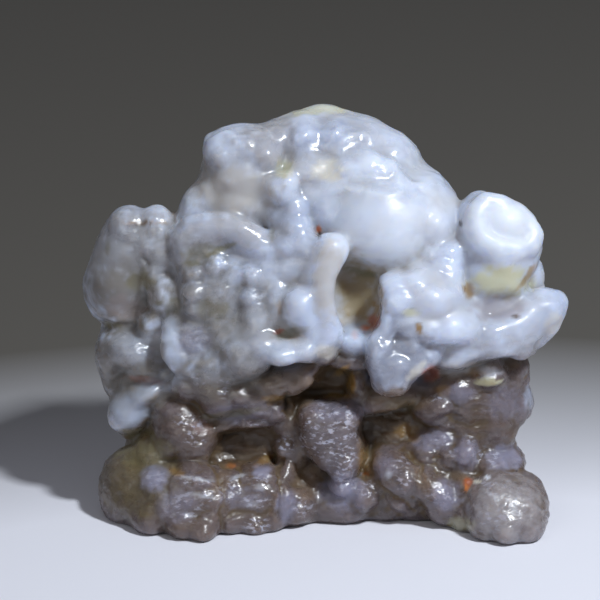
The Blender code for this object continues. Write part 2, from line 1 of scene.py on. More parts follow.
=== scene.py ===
"""A rough gobi agate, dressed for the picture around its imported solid.

A milky, lobed cap overhangs a smoky, knobbly lower half. The stone is one skin: rounded lumps are
grown together, hollows are cut, and every point of the skin is then drawn onto the smooth sum of
the same lumps, roughened, and coloured by where it lies.

Lumps on the front are placed the way the stone is seen: across (to the right) and up in a view
that looks down on the stone by VIEW_TILT, and back (away from the eye) along the ground. Lumps
on the rear are placed by their true height. Sizes are in millimetres until the mesh is made.
"""

import math

import bpy
import numpy as np
from bpy.props import FloatProperty, FloatVectorProperty, PointerProperty
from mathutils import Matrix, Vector


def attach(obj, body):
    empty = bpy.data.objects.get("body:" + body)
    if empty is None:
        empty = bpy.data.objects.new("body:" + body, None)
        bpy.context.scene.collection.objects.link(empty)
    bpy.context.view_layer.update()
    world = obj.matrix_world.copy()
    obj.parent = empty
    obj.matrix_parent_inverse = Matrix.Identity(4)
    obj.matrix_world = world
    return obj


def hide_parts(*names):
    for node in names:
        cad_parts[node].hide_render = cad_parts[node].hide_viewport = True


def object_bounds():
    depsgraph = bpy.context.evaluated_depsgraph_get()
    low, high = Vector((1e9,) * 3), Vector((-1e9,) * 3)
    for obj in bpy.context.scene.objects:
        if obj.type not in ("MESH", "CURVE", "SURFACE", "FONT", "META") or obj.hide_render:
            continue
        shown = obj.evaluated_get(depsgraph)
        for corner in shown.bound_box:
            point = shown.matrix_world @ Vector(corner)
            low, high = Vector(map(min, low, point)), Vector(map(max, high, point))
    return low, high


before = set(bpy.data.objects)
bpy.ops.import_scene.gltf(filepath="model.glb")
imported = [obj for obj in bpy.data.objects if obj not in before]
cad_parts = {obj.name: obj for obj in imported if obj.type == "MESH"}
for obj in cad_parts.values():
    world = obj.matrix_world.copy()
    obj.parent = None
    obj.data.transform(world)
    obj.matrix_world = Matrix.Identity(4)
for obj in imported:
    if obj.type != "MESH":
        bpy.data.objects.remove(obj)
CAD_LOW, CAD_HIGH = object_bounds()

bl_info = {
    "name": "Gobi Agate",
    "version": (1, 0, 0),
    "blender": (4, 5, 0),
    "location": "3D View > Sidebar > Gobi Agate",
    "description": "Builds a rough, milky gobi agate and its plain studio",
    "category": "Object",
}

MM = 0.001
NODE = "gobi_agate"
PIECE = "stone"
SLOT = "chalcedony"

# How the front lumps are placed
VIEW_TILT = math.radians(18.0)
FRONT_FOOT_RISE = 6.2

# Rows of front lumps: across, up, back, half width, half depth, half height, and then a lean to
# the right in degrees
LEFT_HORN = (
    (-27.6, 41.0, 3.8, 5.6, 5.6, 5.9),
    (-28.2, 45.3, 2.8, 2.9, 3.4, 2.6),
    (-24.0, 45.5, 2.4, 2.1, 3.2, 2.4),
    (-29.0, 37.4, 4.0, 5.5, 6.5, 5.6, 10),
    (-30.4, 35.2, 4.0, 4.2, 5.5, 3.9),
    (-24.8, 43.0, 2.2, 3.2, 4.6, 2.4),
    (-23.2, 41.2, 0.8, 2.6, 4.0, 3.6),
    (-22.2, 43.8, 2.2, 2.4, 3.6, 2.3),
    (-22.8, 35.6, -1.6, 2.8, 4.4, 3.0),
    (-24.6, 38.6, 0.6, 2.2, 4.4, 3.2),
    (-24.0, 32.4, -1.0, 2.4, 4.0, 2.4),
    (-28.6, 32.8, 3.0, 4.2, 5.5, 2.6),
    (-25.3, 30.9, -1.8, 1.6, 3.5, 2.2),
)

LEFT_STACK = (
    (-27.4, 27.4, -1.6, 4.2, 5.0, 2.9, 12),
    (-30.8, 26.8, 1.0, 2.4, 5.0, 3.9),
    (-29.4, 22.8, 1.2, 2.7, 5.0, 2.8),
    (-27.2, 23.0, -1.6, 2.6, 4.4, 2.2),
    (-25.4, 25.2, -2.2, 2.8, 4.6, 2.2),
    (-27.9, 18.5, -4.4, 3.8, 4.2, 3.0, -35),
    (-25.4, 21.4, -5.6, 3.1, 3.6, 1.6, -32),
    (-27.6, 16.6, -1.0, 2.5, 4.0, 2.0),
    (-24.0, 17.5, -0.5, 3.0, 5.0, 3.4),
    (-23.6, 28.0, -1.0, 3.0, 4.0, 5.6),
    (-22.8, 22.6, -3.0, 2.6, 4.4, 3.6),
)

SHOULDER = (
    (-18.7, 46.0, 2.2, 2.5, 4.5, 4.6, 6),
    (-12.1, 52.6, 5.0, 5.6, 7.0, 5.6),
    (-16.6, 49.0, 3.2, 2.2, 4.6, 3.2),
    (-14.9, 55.9, 4.5, 2.7, 5.0, 2.3),
    (-11.7, 56.4, 5.0, 3.5, 5.0, 2.9),
    (-12.6, 48.2, 2.8, 4.9, 6.0, 3.8),
    (-8.6, 55.6, 4.5, 2.9, 5.0, 2.7),
    (-8.0, 51.0, 3.5, 2.3, 5.0, 3.4),
    (-7.1, 50.2, -0.9, 1.0, 1.8, 1.2),
    (-5.2, 51.2, -0.4, 1.5, 2.4, 1.5),
)

CREST = (
    (-6.8, 57.4, 6.5, 3.2, 4.5, 2.4, -16),
    (-3.2, 57.6, 7.0, 3.4, 5.0, 3.4),
    (-3.2, 59.2, 10.5, 5.0, 2.4, 1.9, -12),
    (-0.4, 60.4, 11.0, 2.5, 2.2, 1.8),
    (3.4, 59.6, 11.0, 4.2, 2.2, 1.5, 8),
    (1.9, 57.2, 7.0, 3.8, 5.0, 3.1),
    (6.0, 57.0, 8.0, 3.4, 5.0, 3.3),
    (9.6, 55.4, 8.0, 3.2, 5.0, 3.2),
    (11.4, 54.0, 8.0, 2.2, 4.6, 2.4),
    (-2.0, 53.6, 4.5, 4.4, 5.5, 3.2),
    (4.0, 54.4, 4.8, 5.0, 4.6, 2.8),
)

GREAT_DOME = (
    (7.8, 45.4, 2.5, 9.3, 9.5, 8.0),
    (4.6, 51.0, 3.4, 4.3, 5.5, 2.9),
    (9.0, 50.4, 3.0, 3.4, 5.5, 3.1),
    (0.6, 47.2, 1.0, 2.4, 4.5, 3.9),
    (14.0, 49.4, 5.0, 4.0, 6.0, 4.0),
    (15.4, 45.0, 1.5, 3.6, 6.0, 4.6),
    (17.6, 46.4, 3.5, 2.0, 5.0, 3.4),
)

MIDDLE_BUMPS = (
    (-4.0, 47.9, -0.9, 1.8, 2.8, 1.6),
    (-7.4, 47.8, 2.6, 2.8, 4.4, 3.2),
    (-2.0, 50.2, 2.6, 2.8, 4.4, 2.8),
    (-5.4, 47.8, 1.6, 2.8, 4.0, 3.4),
    (-4.3, 45.2, -2.2, 2.4, 3.8, 1.9),
    (-5.4, 42.6, -3.4, 2.4, 3.8, 2.0),
    (-3.0, 43.0, -3.6, 1.7, 3.4, 1.8),
    (-5.6, 49.4, -0.6, 1.7, 2.8, 1.6),
    (-6.7, 45.9, -0.8, 1.3, 2.6, 1.4),
    (-2.6, 41.6, -4.0, 2.4, 3.6, 1.8),
    (-4.2, 39.4, -3.8, 3.4, 4.2, 3.2),
    (-8.2, 40.4, -2.2, 3.0, 4.2, 3.2),
    (-8.0, 37.2, -3.4, 3.2, 4.6, 3.8),
    (-6.8, 33.6, -6.2, 2.2, 4.0, 3.8),
)

HAND = (
    (-16.4, 43.0, -0.2, 4.8, 4.8, 3.6),
    (-11.2, 42.4, -0.6, 2.9, 4.6, 3.2),
    (-20.0, 41.6, -1.2, 2.2, 3.8, 4.2),
    (-15.6, 39.2, -4.2, 1.7, 2.8, 1.9),
    (-12.9, 38.0, -3.8, 1.9, 3.2, 3.0),
    (-10.5, 38.0, -5.4, 1.7, 2.8, 1.7),
    (-10.5, 35.0, -6.2, 1.8, 2.8, 1.6),
    (-18.8, 38.3, -3.9, 1.6, 2.8, 1.3),
    (-18.7, 35.8, -5.2, 1.9, 3.0, 1.5),
    (-18.6, 33.5, -5.4, 1.7, 2.8, 1.3),
    (-17.0, 36.6, -2.6, 4.6, 3.8, 4.4),
    (-14.4, 35.6, -4.6, 2.4, 3.4, 2.2),
    (-15.0, 33.2, -3.8, 4.8, 4.6, 5.8),
    (-20.8, 33.4, -2.6, 2.0, 3.6, 2.6),
    (-19.0, 28.4, -5.4, 3.4, 3.6, 4.2),
    (-14.0, 29.2, -5.8, 3.6, 4.2, 3.6),
    (-9.8, 31.2, -6.4, 3.0, 4.4, 4.0),
    (-15.4, 25.2, -6.6, 4.8, 4.4, 3.6),
    (-11.4, 26.8, -8.2, 4.0, 4.8, 3.6),
    (-9.0, 28.2, -9.2, 2.6, 3.8, 2.2),
    (-6.2, 27.0, -10.4, 2.9, 4.0, 1.9),
    (-2.8, 27.6, -9.8, 2.4, 3.6, 2.1),
    (-19.6, 22.6, -5.8, 2.8, 4.2, 2.4, 20),
    (-15.4, 20.8, -7.2, 3.0, 4.2, 2.9),
    (-16.6, 22.8, -7.4, 2.4, 3.6, 2.0),
    (-12.2, 21.6, -7.2, 2.8, 4.2, 2.2),
)

HAND_LEDGES = (
    (-9.4, 21.2, -6.6, 2.6, 4.0, 2.0, -12),
    (-7.0, 23.6, -7.2, 4.2, 3.8, 1.4, -16),
    (-2.6, 24.9, -6.6, 2.6, 3.6, 1.2, -16),
    (-10.4, 17.4, -6.6, 3.0, 4.0, 1.2, -6),
    (-14.2, 17.2, -5.8, 2.4, 4.0, 1.2, -18),
    (-16.4, 18.6, -4.8, 2.2, 3.6, 1.8),
    (-12.4, 19.2, -5.2, 2.8, 3.6, 1.6),
    (-6.8, 19.2, -5.8, 2.3, 4.0, 1.9),
    (-5.6, 16.6, -5.4, 2.4, 4.0, 2.4),
    (-8.8, 16.0, -3.6, 3.0, 4.0, 2.4),
    (-12.6, 18.0, -4.6, 3.6, 3.8, 1.9),
    (-8.0, 19.0, -4.0, 7.0, 3.6, 3.0),
    (-18.0, 19.0, -3.6, 5.0, 3.6, 3.0),
    (-5.6, 22.6, -7.0, 3.6, 3.4, 1.9, -10),
    (-2.6, 23.4, -7.6, 1.8, 3.2, 1.4),
    (-9.6, 19.4, -7.4, 2.6, 3.4, 1.4, 10),
)

KNOB_AND_FINGER = (
    (-3.5, 34.2, -9.2, 2.4, 3.4, 2.2),
    (-4.6, 32.8, -9.0, 1.7, 3.2, 2.4),
    (-2.5, 32.2, -9.0, 2.2, 3.4, 2.3),
    (-1.6, 30.2, -9.0, 1.9, 3.2, 1.9),
    (-5.6, 30.8, -6.0, 3.0, 4.0, 3.2),
    (-0.2, 28.6, -8.8, 1.9, 3.4, 1.8),
    (-1.4, 37.4, -6.0, 2.4, 4.2, 3.6),
    (4.2, 29.0, -7.2, 2.6, 3.6, 2.2),
    (3.4, 26.2, -6.2, 3.4, 4.0, 1.7),
    (4.8, 22.4, -4.6, 1.9, 4.0, 3.4),
    (0.0, 26.6, -8.2, 1.6, 3.0, 1.3, -25),
)

RIGHT_LUMP = (
    (10.2, 35.0, -7.4, 3.9, 5.0, 2.9),
    (9.6, 36.9, -8.2, 2.4, 2.8, 1.2),
    (12.8, 37.3, -8.4, 1.6, 2.4, 1.0),
    (15.0, 35.0, -7.6, 3.6, 4.8, 2.9),
    (17.6, 34.6, -5.4, 2.6, 4.6, 4.0),
    (17.8, 38.6, -3.6, 2.2, 4.0, 2.6),
    (15.4, 41.2, -3.2, 1.8, 2.6, 1.4),
    (17.8, 41.6, -2.8, 1.9, 2.8, 1.6),
    (16.8, 39.6, -4.2, 2.0, 2.6, 1.3),
    (13.6, 38.9, -4.6, 1.9, 2.6, 1.2),
    (15.2, 37.9, -6.0, 1.3, 2.6, 1.1),
    (14.6, 30.8, -8.6, 3.0, 4.4, 2.5),
    (13.4, 34.2, -7.0, 5.0, 4.6, 3.6),
    (12.0, 31.6, -9.0, 3.0, 4.0, 2.4),
    (17.8, 30.9, -8.2, 3.3, 4.6, 2.9),
    (20.0, 30.8, -6.6, 2.3, 4.4, 2.7),
    (8.5, 31.4, -8.6, 1.9, 4.0, 3.4),
    (7.2, 28.4, -9.6, 1.6, 3.6, 2.6),
    (11.2, 28.6, -9.2, 2.6, 3.6, 1.9),
)

TONGUE = (
    (8.6, 25.0, -10.2, 2.6, 4.0, 4.3),
    (10.2, 23.8, -10.4, 2.2, 3.8, 3.1),
    (12.4, 25.8, -9.6, 2.9, 4.0, 2.3, -30),
    (14.6, 26.7, -8.6, 2.6, 4.0, 1.7, -30),
    (7.3, 26.6, -12.2, 1.2, 2.0, 2.8),
    (10.3, 25.2, -12.8, 1.4, 1.6, 1.4),
    (12.9, 26.8, -11.4, 1.3, 1.6, 1.2),
    (18.0, 26.4, -6.2, 3.0, 4.2, 1.5),
)

TOOTH = (
    (25.4, 44.6, 1.8, 4.8, 4.4, 4.2),
    (25.4, 44.8, -1.2, 4.7, 4.3, 3.8, 22),
    (26.4, 43.2, 1.4, 4.6, 4.6, 3.6, 28),
    (22.0, 46.0, 0.6, 3.0, 4.4, 4.0),
    (25.2, 40.6, -1.6, 4.8, 5.2, 3.0, 12),
    (24.4, 38.4, -1.6, 4.5, 5.0, 3.0),
    (22.0, 38.8, -1.8, 2.4, 4.4, 3.2),
    (23.4, 36.9, -2.2, 2.9, 4.4, 2.0),
    (26.0, 37.4, -2.0, 2.6, 4.4, 2.3),
    (28.4, 40.6, 0.2, 2.2, 4.4, 2.6),
    (20.8, 42.6, -1.0, 2.2, 4.0, 4.6),
    (24.6, 33.4, -2.2, 4.2, 4.2, 3.0),
    (28.1, 35.2, -1.2, 1.0, 2.6, 1.1),
    (29.9, 38.0, 3.4, 1.7, 3.2, 2.4),
)

WING = (
    (28.4, 29.8, -3.0, 3.3, 4.2, 2.1, -30),
    (31.9, 33.4, -1.0, 2.6, 4.4, 2.4),
    (32.0, 31.4, 0.0, 1.8, 4.2, 2.2),
    (30.2, 29.7, 0.0, 2.1, 4.2, 1.8),
    (19.6, 27.8, -5.8, 3.4, 4.4, 1.9),
    (24.2, 28.2, -5.2, 4.2, 4.4, 1.9),
    (28.0, 28.0, -2.8, 2.2, 4.6, 1.8),
)

LOWER_RIGHT = (
    (26.2, 24.2, 0.2, 3.2, 5.0, 3.2),
    (23.8, 7.8, -5.5, 3.8, 5.0, 4.2),
    (24.4, 21.4, -1.6, 2.8, 4.4, 2.4),
    (26.4, 19.7, -0.6, 3.6, 5.4, 3.2),
    (23.6, 18.3, -2.6, 3.4, 4.6, 2.6),
    (23.3, 23.4, -6.0, 2.2, 2.6, 1.25),
    (23.9, 24.7, -5.4, 1.0, 2.0, 0.8),
    (18.8, 22.0, -5.6, 2.2, 3.0, 1.6, 15),
    (21.2, 20.4, -5.8, 1.1, 2.2, 0.9),
    (19.8, 19.6, -5.4, 1.9, 3.2, 1.5),
    (20.8, 22.6, -3.4, 2.6, 3.6, 2.2),
    (16.4, 22.6, -3.6, 2.6, 3.6, 2.0),
    (15.6, 19.4, -5.6, 3.4, 3.8, 1.9, -20),
    (17.0, 17.6, -5.4, 2.6, 3.6, 1.3),
    (19.8, 17.2, -4.6, 2.2, 3.6, 1.6),
    (11.6, 21.4, -3.8, 2.6, 4.0, 1.8),
    (8.4, 20.3, -5.8, 3.8, 4.2, 2.4, -15),
    (13.0, 17.4, -2.2, 4.0, 4.0, 3.0),
    (23.9, 15.4, -3.4, 2.6, 4.6, 2.4),
    (16.2, 15.0, -6.2, 2.4, 3.6, 1.3),
    (14.3, 13.2, -6.8, 2.4, 4.0, 1.7),
    (17.6, 12.6, -7.8, 1.7, 3.8, 1.7),
    (20.0, 12.6, -8.2, 2.0, 4.0, 2.8, 12),
    (23.6, 11.3, -7.6, 2.9, 4.4, 1.7),
    (26.1, 11.2, -5.6, 2.5, 5.0, 2.1),
    (16.2, 10.4, -6.4, 3.6, 4.4, 2.6),
    (9.2, 10.0, -8.8, 3.3, 4.8, 3.7),
    (11.4, 9.0, -11.0, 2.3, 3.8, 2.5),
    (14.0, 8.6, -10.6, 2.4, 4.0, 2.3),
    (10.8, 6.5, -9.8, 3.0, 4.0, 2.0, 20),
    (15.8, 7.4, -11.2, 2.2, 3.8, 1.9),
    (17.0, 5.4, -11.0, 2.9, 4.4, 3.4),
    (19.6, 3.4, -12.0, 2.0, 4.4, 3.2),
    (20.2, 6.4, -10.6, 2.2, 4.0, 3.4),
    (19.8, 8.9, -9.2, 2.2, 3.6, 2.0),
    (13.0, 5.4, -6.6, 4.6, 5.2, 4.6),
    (5.6, 11.0, -4.4, 2.6, 4.4, 4.4),
    (19.4, 22.2, -3.4, 7.8, 4.0, 4.8),
    (20.2, 13.4, -4.4, 6.6, 3.8, 4.4),
    (15.0, 10.0, -7.0, 5.6, 3.8, 4.4, 25),
    (12.2, 22.6, -3.4, 3.2, 3.6, 2.6),
    (22.0, 17.2, -4.2, 5.4, 4.6, 6.2),
    (9.4, 15.8, -3.6, 4.4, 3.4, 3.0),
)

RIGHT_FOOT = (
    (25.0, 4.6, -14.0, 4.0, 6.6, 4.6),
    (27.6, 4.5, -13.2, 3.7, 7.0, 4.5),
    (24.4, 7.0, -13.2, 3.4, 5.4, 2.5),
    (22.7, 4.4, -15.4, 2.5, 4.6, 3.0),
    (29.0, 4.8, -13.4, 2.2, 5.0, 2.8),
    (28.2, 7.3, -11.4, 2.3, 5.0, 1.9),
    (22.6, 2.6, -16.0, 2.2, 4.4, 2.6),
    (25.6, 2.0, -18.0, 2.4, 4.2, 2.4),
    (28.6, 2.2, -16.4, 2.5, 4.6, 2.8),
)

MIDDLE_FOOT = (
    (-1.0, 16.0, -8.0, 2.9, 4.2, 3.3),
    (2.2, 15.8, -8.4, 2.9, 4.4, 3.7),
    (1.0, 15.2, -8.2, 3.9, 4.8, 3.8),
    (0.6, 12.8, -8.8, 2.4, 4.4, 2.4),
    (2.8, 11.6, -9.6, 2.3, 4.4, 3.0, 10),
    (1.4, 18.2, -7.4, 3.6, 4.0, 1.5, -8),
    (3.4, 17.6, -8.8, 1.9, 3.4, 1.8),
    (-1.9, 17.8, -8.4, 1.8, 3.4, 1.8),
    (3.9, 13.8, -8.6, 1.6, 3.6, 2.8),
    (-3.9, 14.0, -6.6, 1.7, 3.6, 3.4),
    (2.6, 8.2, -10.0, 1.8, 3.6, 1.4),
    (5.6, 6.8, -10.2, 2.4, 4.0, 2.2, 20),
    (2.8, 5.0, -8.8, 3.8, 4.6, 3.4),
    (0.0, 5.0, -8.2, 2.4, 4.4, 3.0),
    (8.8, 5.0, -7.4, 3.2, 4.6, 3.6),
    (4.0, 5.6, -6.5, 9.0, 4.8, 4.6),
    (-3.6, 5.2, -8.2, 4.2, 4.8, 4.6),
)

LEFT_FOOT = (
    (-27.2, 7.6, -6.0, 5.1, 7.5, 5.8),
    (-24.4, 12.4, -6.4, 3.0, 4.8, 2.8),
    (-24.2, 8.6, -11.0, 2.3, 3.8, 2.1),
    (-29.0, 4.6, -7.0, 2.8, 5.6, 2.9),
    (-24.8, 3.4, -13.2, 2.9, 4.8, 2.9),
    (-22.0, 5.4, -13.2, 2.3, 4.2, 2.6),
    (-20.6, 16.6, -6.8, 3.9, 5.0, 3.7),
    (-19.4, 14.4, -7.4, 3.8, 4.8, 3.4),
    (-22.2, 14.6, -6.2, 2.8, 4.6, 3.4),
    (-21.8, 19.4, -5.8, 2.6, 4.2, 1.6),
    (-16.9, 14.2, -8.2, 1.6, 3.2, 2.2, 35),
    (-18.9, 6.8, -12.8, 2.9, 4.2, 2.1),
    (-16.4, 4.8, -13.8, 2.2, 4.0, 2.4),
    (-16.6, 8.2, -10.8, 2.2, 4.0, 2.2),
    (-20.2, 2.6, -15.4, 2.5, 4.4, 2.5),
    (-17.4, 2.0, -16.4, 2.3, 4.4, 2.2),
    (-19.6, 9.8, -9.0, 3.4, 4.4, 2.0),
    (-19.0, 5.8, -12.4, 7.4, 5.4, 5.4),
    (-25.4, 5.4, -9.0, 4.2, 6.0, 4.6),
)

LEFT_FOOT_ROW = (
    (-13.6, 8.9, -9.8, 2.1, 4.0, 1.9),
    (-13.2, 6.1, -12.0, 1.9, 3.6, 1.8),
    (-13.4, 3.1, -13.6, 2.4, 4.0, 2.3),
    (-9.9, 5.7, -12.2, 1.9, 3.4, 1.3),
    (-8.8, 8.4, -10.4, 1.4, 3.0, 1.3),
    (-9.2, 10.4, -8.8, 1.4, 3.0, 1.3),
    (-11.4, 9.4, -9.0, 1.5, 3.0, 1.5),
    (-7.2, 5.8, -11.2, 1.6, 3.4, 2.1),
    (-10.0, 2.6, -13.6, 2.4, 4.0, 2.2),
    (-7.4, 3.6, -12.4, 1.9, 4.0, 2.4),
    (-5.7, 13.5, -7.6, 1.5, 2.8, 1.4),
    (-3.8, 6.9, -10.6, 1.6, 3.2, 1.2),
    (-4.0, 4.8, -11.0, 2.1, 4.0, 2.6),
    (-5.4, 10.2, -8.0, 1.6, 3.6, 2.4),
    (-1.8, 9.0, -6.0, 2.4, 4.2, 3.2),
    (-10.4, 5.8, -11.4, 6.8, 4.9, 5.2),
    (-11.4, 13.4, -4.8, 4.4, 3.4, 2.8),
    (-15.2, 12.6, -5.6, 2.4, 3.4, 2.4),
)

# Ridges: points of across, up, back and radius, with balls along them
RIDGES = (
    # Arch over the left hand's hollow, from its left stem round to the middle saddle
    (
        (-20.4, 40.0, -2.0, 1.8),
        (-20.2, 42.6, -2.0, 1.9),
        (-18.8, 44.3, -2.4, 1.9),
        (-16.4, 44.8, -2.8, 1.9),
        (-14.0, 44.6, -3.2, 1.9),
        (-11.8, 43.8, -3.6, 1.9),
        (-10.0, 42.6, -3.9, 1.9),
        (-8.4, 41.2, -4.2, 1.8),
        (-6.6, 39.6, -4.4, 1.8),
    ),
    # White lip down the left edge of the hand
    (
        (-22.0, 31.2, -5.6, 1.1),
        (-22.0, 28.8, -7.2, 1.2),
        (-21.7, 26.8, -8.0, 1.3),
        (-20.8, 25.4, -8.4, 1.3),
        (-19.2, 24.6, -8.8, 1.3),
    ),
    # Finger left of the deep hollow
    (
        (0.8, 41.2, -6.6, 2.8),
        (0.5, 38.6, -7.6, 2.6),
        (0.1, 36.0, -8.6, 2.3),
        (0.5, 33.0, -9.6, 1.9),
        (0.8, 30.6, -9.8, 1.9),
        (0.7, 29.2, -9.4, 1.8),
    ),
    # Rim of the tooth's dish
    (
        (22.8, 48.3, -2.2, 1.1),
        (21.6, 46.8, -3.2, 1.2),
        (21.4, 44.6, -4.3, 1.3),
        (22.4, 42.6, -5.3, 1.3),
        (24.5, 41.6, -5.8, 1.2),
        (27.0, 41.3, -5.4, 1.1),
        (29.1, 41.9, -4.2, 1.1),
        (29.8, 43.3, -3.1, 1.0),
        (28.8, 44.9, -2.2, 1.0),
        (26.9, 46.5, -1.7, 1.0),
        (24.9, 47.8, -1.7, 1.1),
        (22.8, 48.3, -2.2, 1.1),
    ),
    # Edge of the great dome, over the smooth band behind it
    (
        (-0.5, 46.8, -0.8, 1.6),
        (-0.4, 48.8, -0.2, 1.6),
        (0.8, 50.8, 0.2, 1.6),
        (3.0, 52.3, 0.2, 1.6),
        (6.0, 53.2, 0.8, 1.6),
        (9.0, 53.0, 1.2, 1.5),
    ),
    # Wing that runs out to the right under the tooth
    (
        (21.0, 29.4, -7.4, 2.4),
        (24.0, 29.2, -7.6, 2.2),
        (26.8, 30.2, -6.6, 2.1),
        (29.2, 32.0, -4.6, 2.2),
        (31.2, 33.6, -2.6, 2.1),
        (32.8, 33.9, -1.4, 1.7),
    ),
)

# Rows of rear and inner lumps: across, true height, back, half width, half depth, half height
CORE = (
    (0.0, 9.0, 6.0, 25.5, 12.6, 12.0),
    (-4.0, 26.0, 5.6, 26.0, 13.2, 13.0),
    (1.0, 38.0, 8.0, 16.6, 8.6, 12.8),
    (16.0, 27.0, 3.0, 13.0, 11.6, 11.0),
)

REAR_CAP = (
    (-10.5, 44.0, 11.2, 6.6, 6.2, 6.6),
    (-2.0, 47.0, 12.2, 5.6, 5.0, 4.4),
    (7.4, 43.4, 12.6, 7.0, 5.4, 7.0, 20),
    (13.4, 36.8, 11.8, 5.6, 5.0, 5.0),
    (0.5, 38.4, 15.6, 6.4, 3.8, 4.6, -25),
    (-9.8, 35.0, 15.8, 7.4, 4.6, 6.2, 15),
    (-18.8, 33.0, 13.6, 4.4, 4.6, 5.6),
    (-25.4, 31.4, 9.2, 6.2, 5.8, 7.2),
    (-27.4, 22.4, 7.6, 5.0, 5.6, 6.0),
    (-19.4, 24.0, 14.2, 6.2, 5.2, 5.2, -20),
    (-11.4, 25.0, 17.6, 3.8, 3.8, 4.4),
    (-3.4, 28.0, 17.2, 5.2, 4.6, 6.6, 10),
    (5.4, 31.4, 16.4, 5.4, 4.4, 4.6),
    (3.8, 23.6, 17.6, 4.4, 4.0, 3.4),
    (14.4, 28.0, 14.2, 6.2, 5.0, 6.6, -15),
    (21.4, 33.2, 7.4, 5.6, 6.2, 7.0),
    (26.4, 26.6, 5.2, 5.2, 5.4, 5.8),
    (22.4, 21.8, 10.4, 4.6, 5.0, 4.6),
    (9.6, 37.4, 15.4, 2.6, 2.8, 2.4),
    (-15.0, 38.8, 14.4, 3.0, 3.0, 2.6),
    (-8.6, 28.6, 19.0, 2.0, 2.4, 1.8),
    (1.0, 48.4, 10.8, 6.0, 3.8, 4.6),
    (-7.0, 20.8, 16.8, 3.2, 3.2, 3.0),
    (14.6, 20.2, 14.0, 3.6, 3.6, 3.2),
)

REAR_FOOT = (
    (-24.6, 12.4, 6.6, 4.4, 5.4, 5.4),
    (-21.0, 14.0, 12.0, 4.8, 5.0, 4.8),
    (-14.0, 13.8, 16.0, 4.8, 4.6, 5.2, 15),
    (-7.0, 16.4, 17.8, 3.8, 3.8, 3.6),
    (0.6, 12.6, 18.0, 5.4, 4.0, 6.0, -10),
    (8.8, 14.2, 16.8, 4.2, 4.2, 4.4),
    (14.8, 13.6, 14.8, 3.6, 4.4, 4.0),
    (18.6, 8.6, 11.6, 4.4, 5.0, 5.2),
    (21.8, 14.0, 9.0, 4.4, 5.0, 4.8),
    (24.0, 4.2, 1.0, 3.8, 6.0, 3.6),
    (21.8, 4.2, 6.6, 4.4, 5.4, 5.0),
    (-24.4, 4.0, 6.2, 4.6, 6.0, 5.0),
    (-18.4, 5.4, 12.4, 4.6, 5.4, 5.4),
    (-10.4, 4.6, 15.8, 5.6, 5.0, 5.6),
    (-3.4, 3.0, 16.8, 3.8, 4.6, 4.2),
    (4.2, 3.0, 16.8, 4.4, 4.6, 4.4),
    (11.4, 5.4, 14.6, 4.6, 5.0, 5.6),
    (15.6, 2.4, 11.6, 4.0, 5.2, 4.0),
)

# Hollows cut into the front, placed like the front lumps
HOLLOWS = (
    # Deep brown hollow between the finger and the right lump
    (4.2, 36.8, -9.2, 1.9, 5.2, 2.2),
    (4.6, 34.6, -9.4, 2.3, 5.4, 2.8),
    (5.1, 32.4, -9.6, 2.2, 4.8, 2.4),
    (3.3, 36.2, -5.8, 2.3, 2.6, 2.4),
    (3.7, 33.8, -6.2, 2.3, 2.8, 2.4),
    # Round hole under the hand
    (0.8, 22.6, -7.8, 2.7, 4.2, 2.0),
    # Dark recess over the left foot
    (-13.2, 13.0, -10.6, 2.6, 2.6, 1.7, -30),
    (-10.2, 13.9, -10.6, 2.8, 2.8, 1.7, -8),
    # Dark recess over the middle knob
    (7.6, 15.6, -9.8, 2.3, 3.4, 1.9, -25),
    (10.6, 16.4, -8.8, 2.2, 2.8, 1.3, -5),
    # Brown pocket between the tongue and the drips
    (14.2, 22.6, -8.0, 1.9, 3.2, 1.2, -35),
)

# Hollows cut into the rear, placed by true height
REAR_HOLLOWS = (
    (-14.8, 20.4, 19.6, 3.4, 3.4, 1.5, 8),
    (10.6, 22.4, 19.4, 3.2, 3.4, 1.9, -12),
    (-3.6, 35.2, 21.6, 2.2, 2.6, 1.5, -30),
    (17.6, 20.6, 15.4, 2.4, 3.4, 1.6, 25),
    (-22.6, 27.6, 17.0, 1.8, 3.2, 2.4, 15),
)


FRONT_LUMPS = (
    LEFT_HORN
    + LEFT_STACK
    + SHOULDER
    + CREST
    + GREAT_DOME
    + MIDDLE_BUMPS
    + HAND
    + HAND_LEDGES
    + KNOB_AND_FINGER
    + RIGHT_LUMP
    + TONGUE
    + TOOTH
    + WING
    + LOWER_RIGHT
    + RIGHT_FOOT
    + MIDDLE_FOOT
    + LEFT_FOOT
    + LEFT_FOOT_ROW
)
REAR_LUMPS = CORE + REAR_CAP + REAR_FOOT

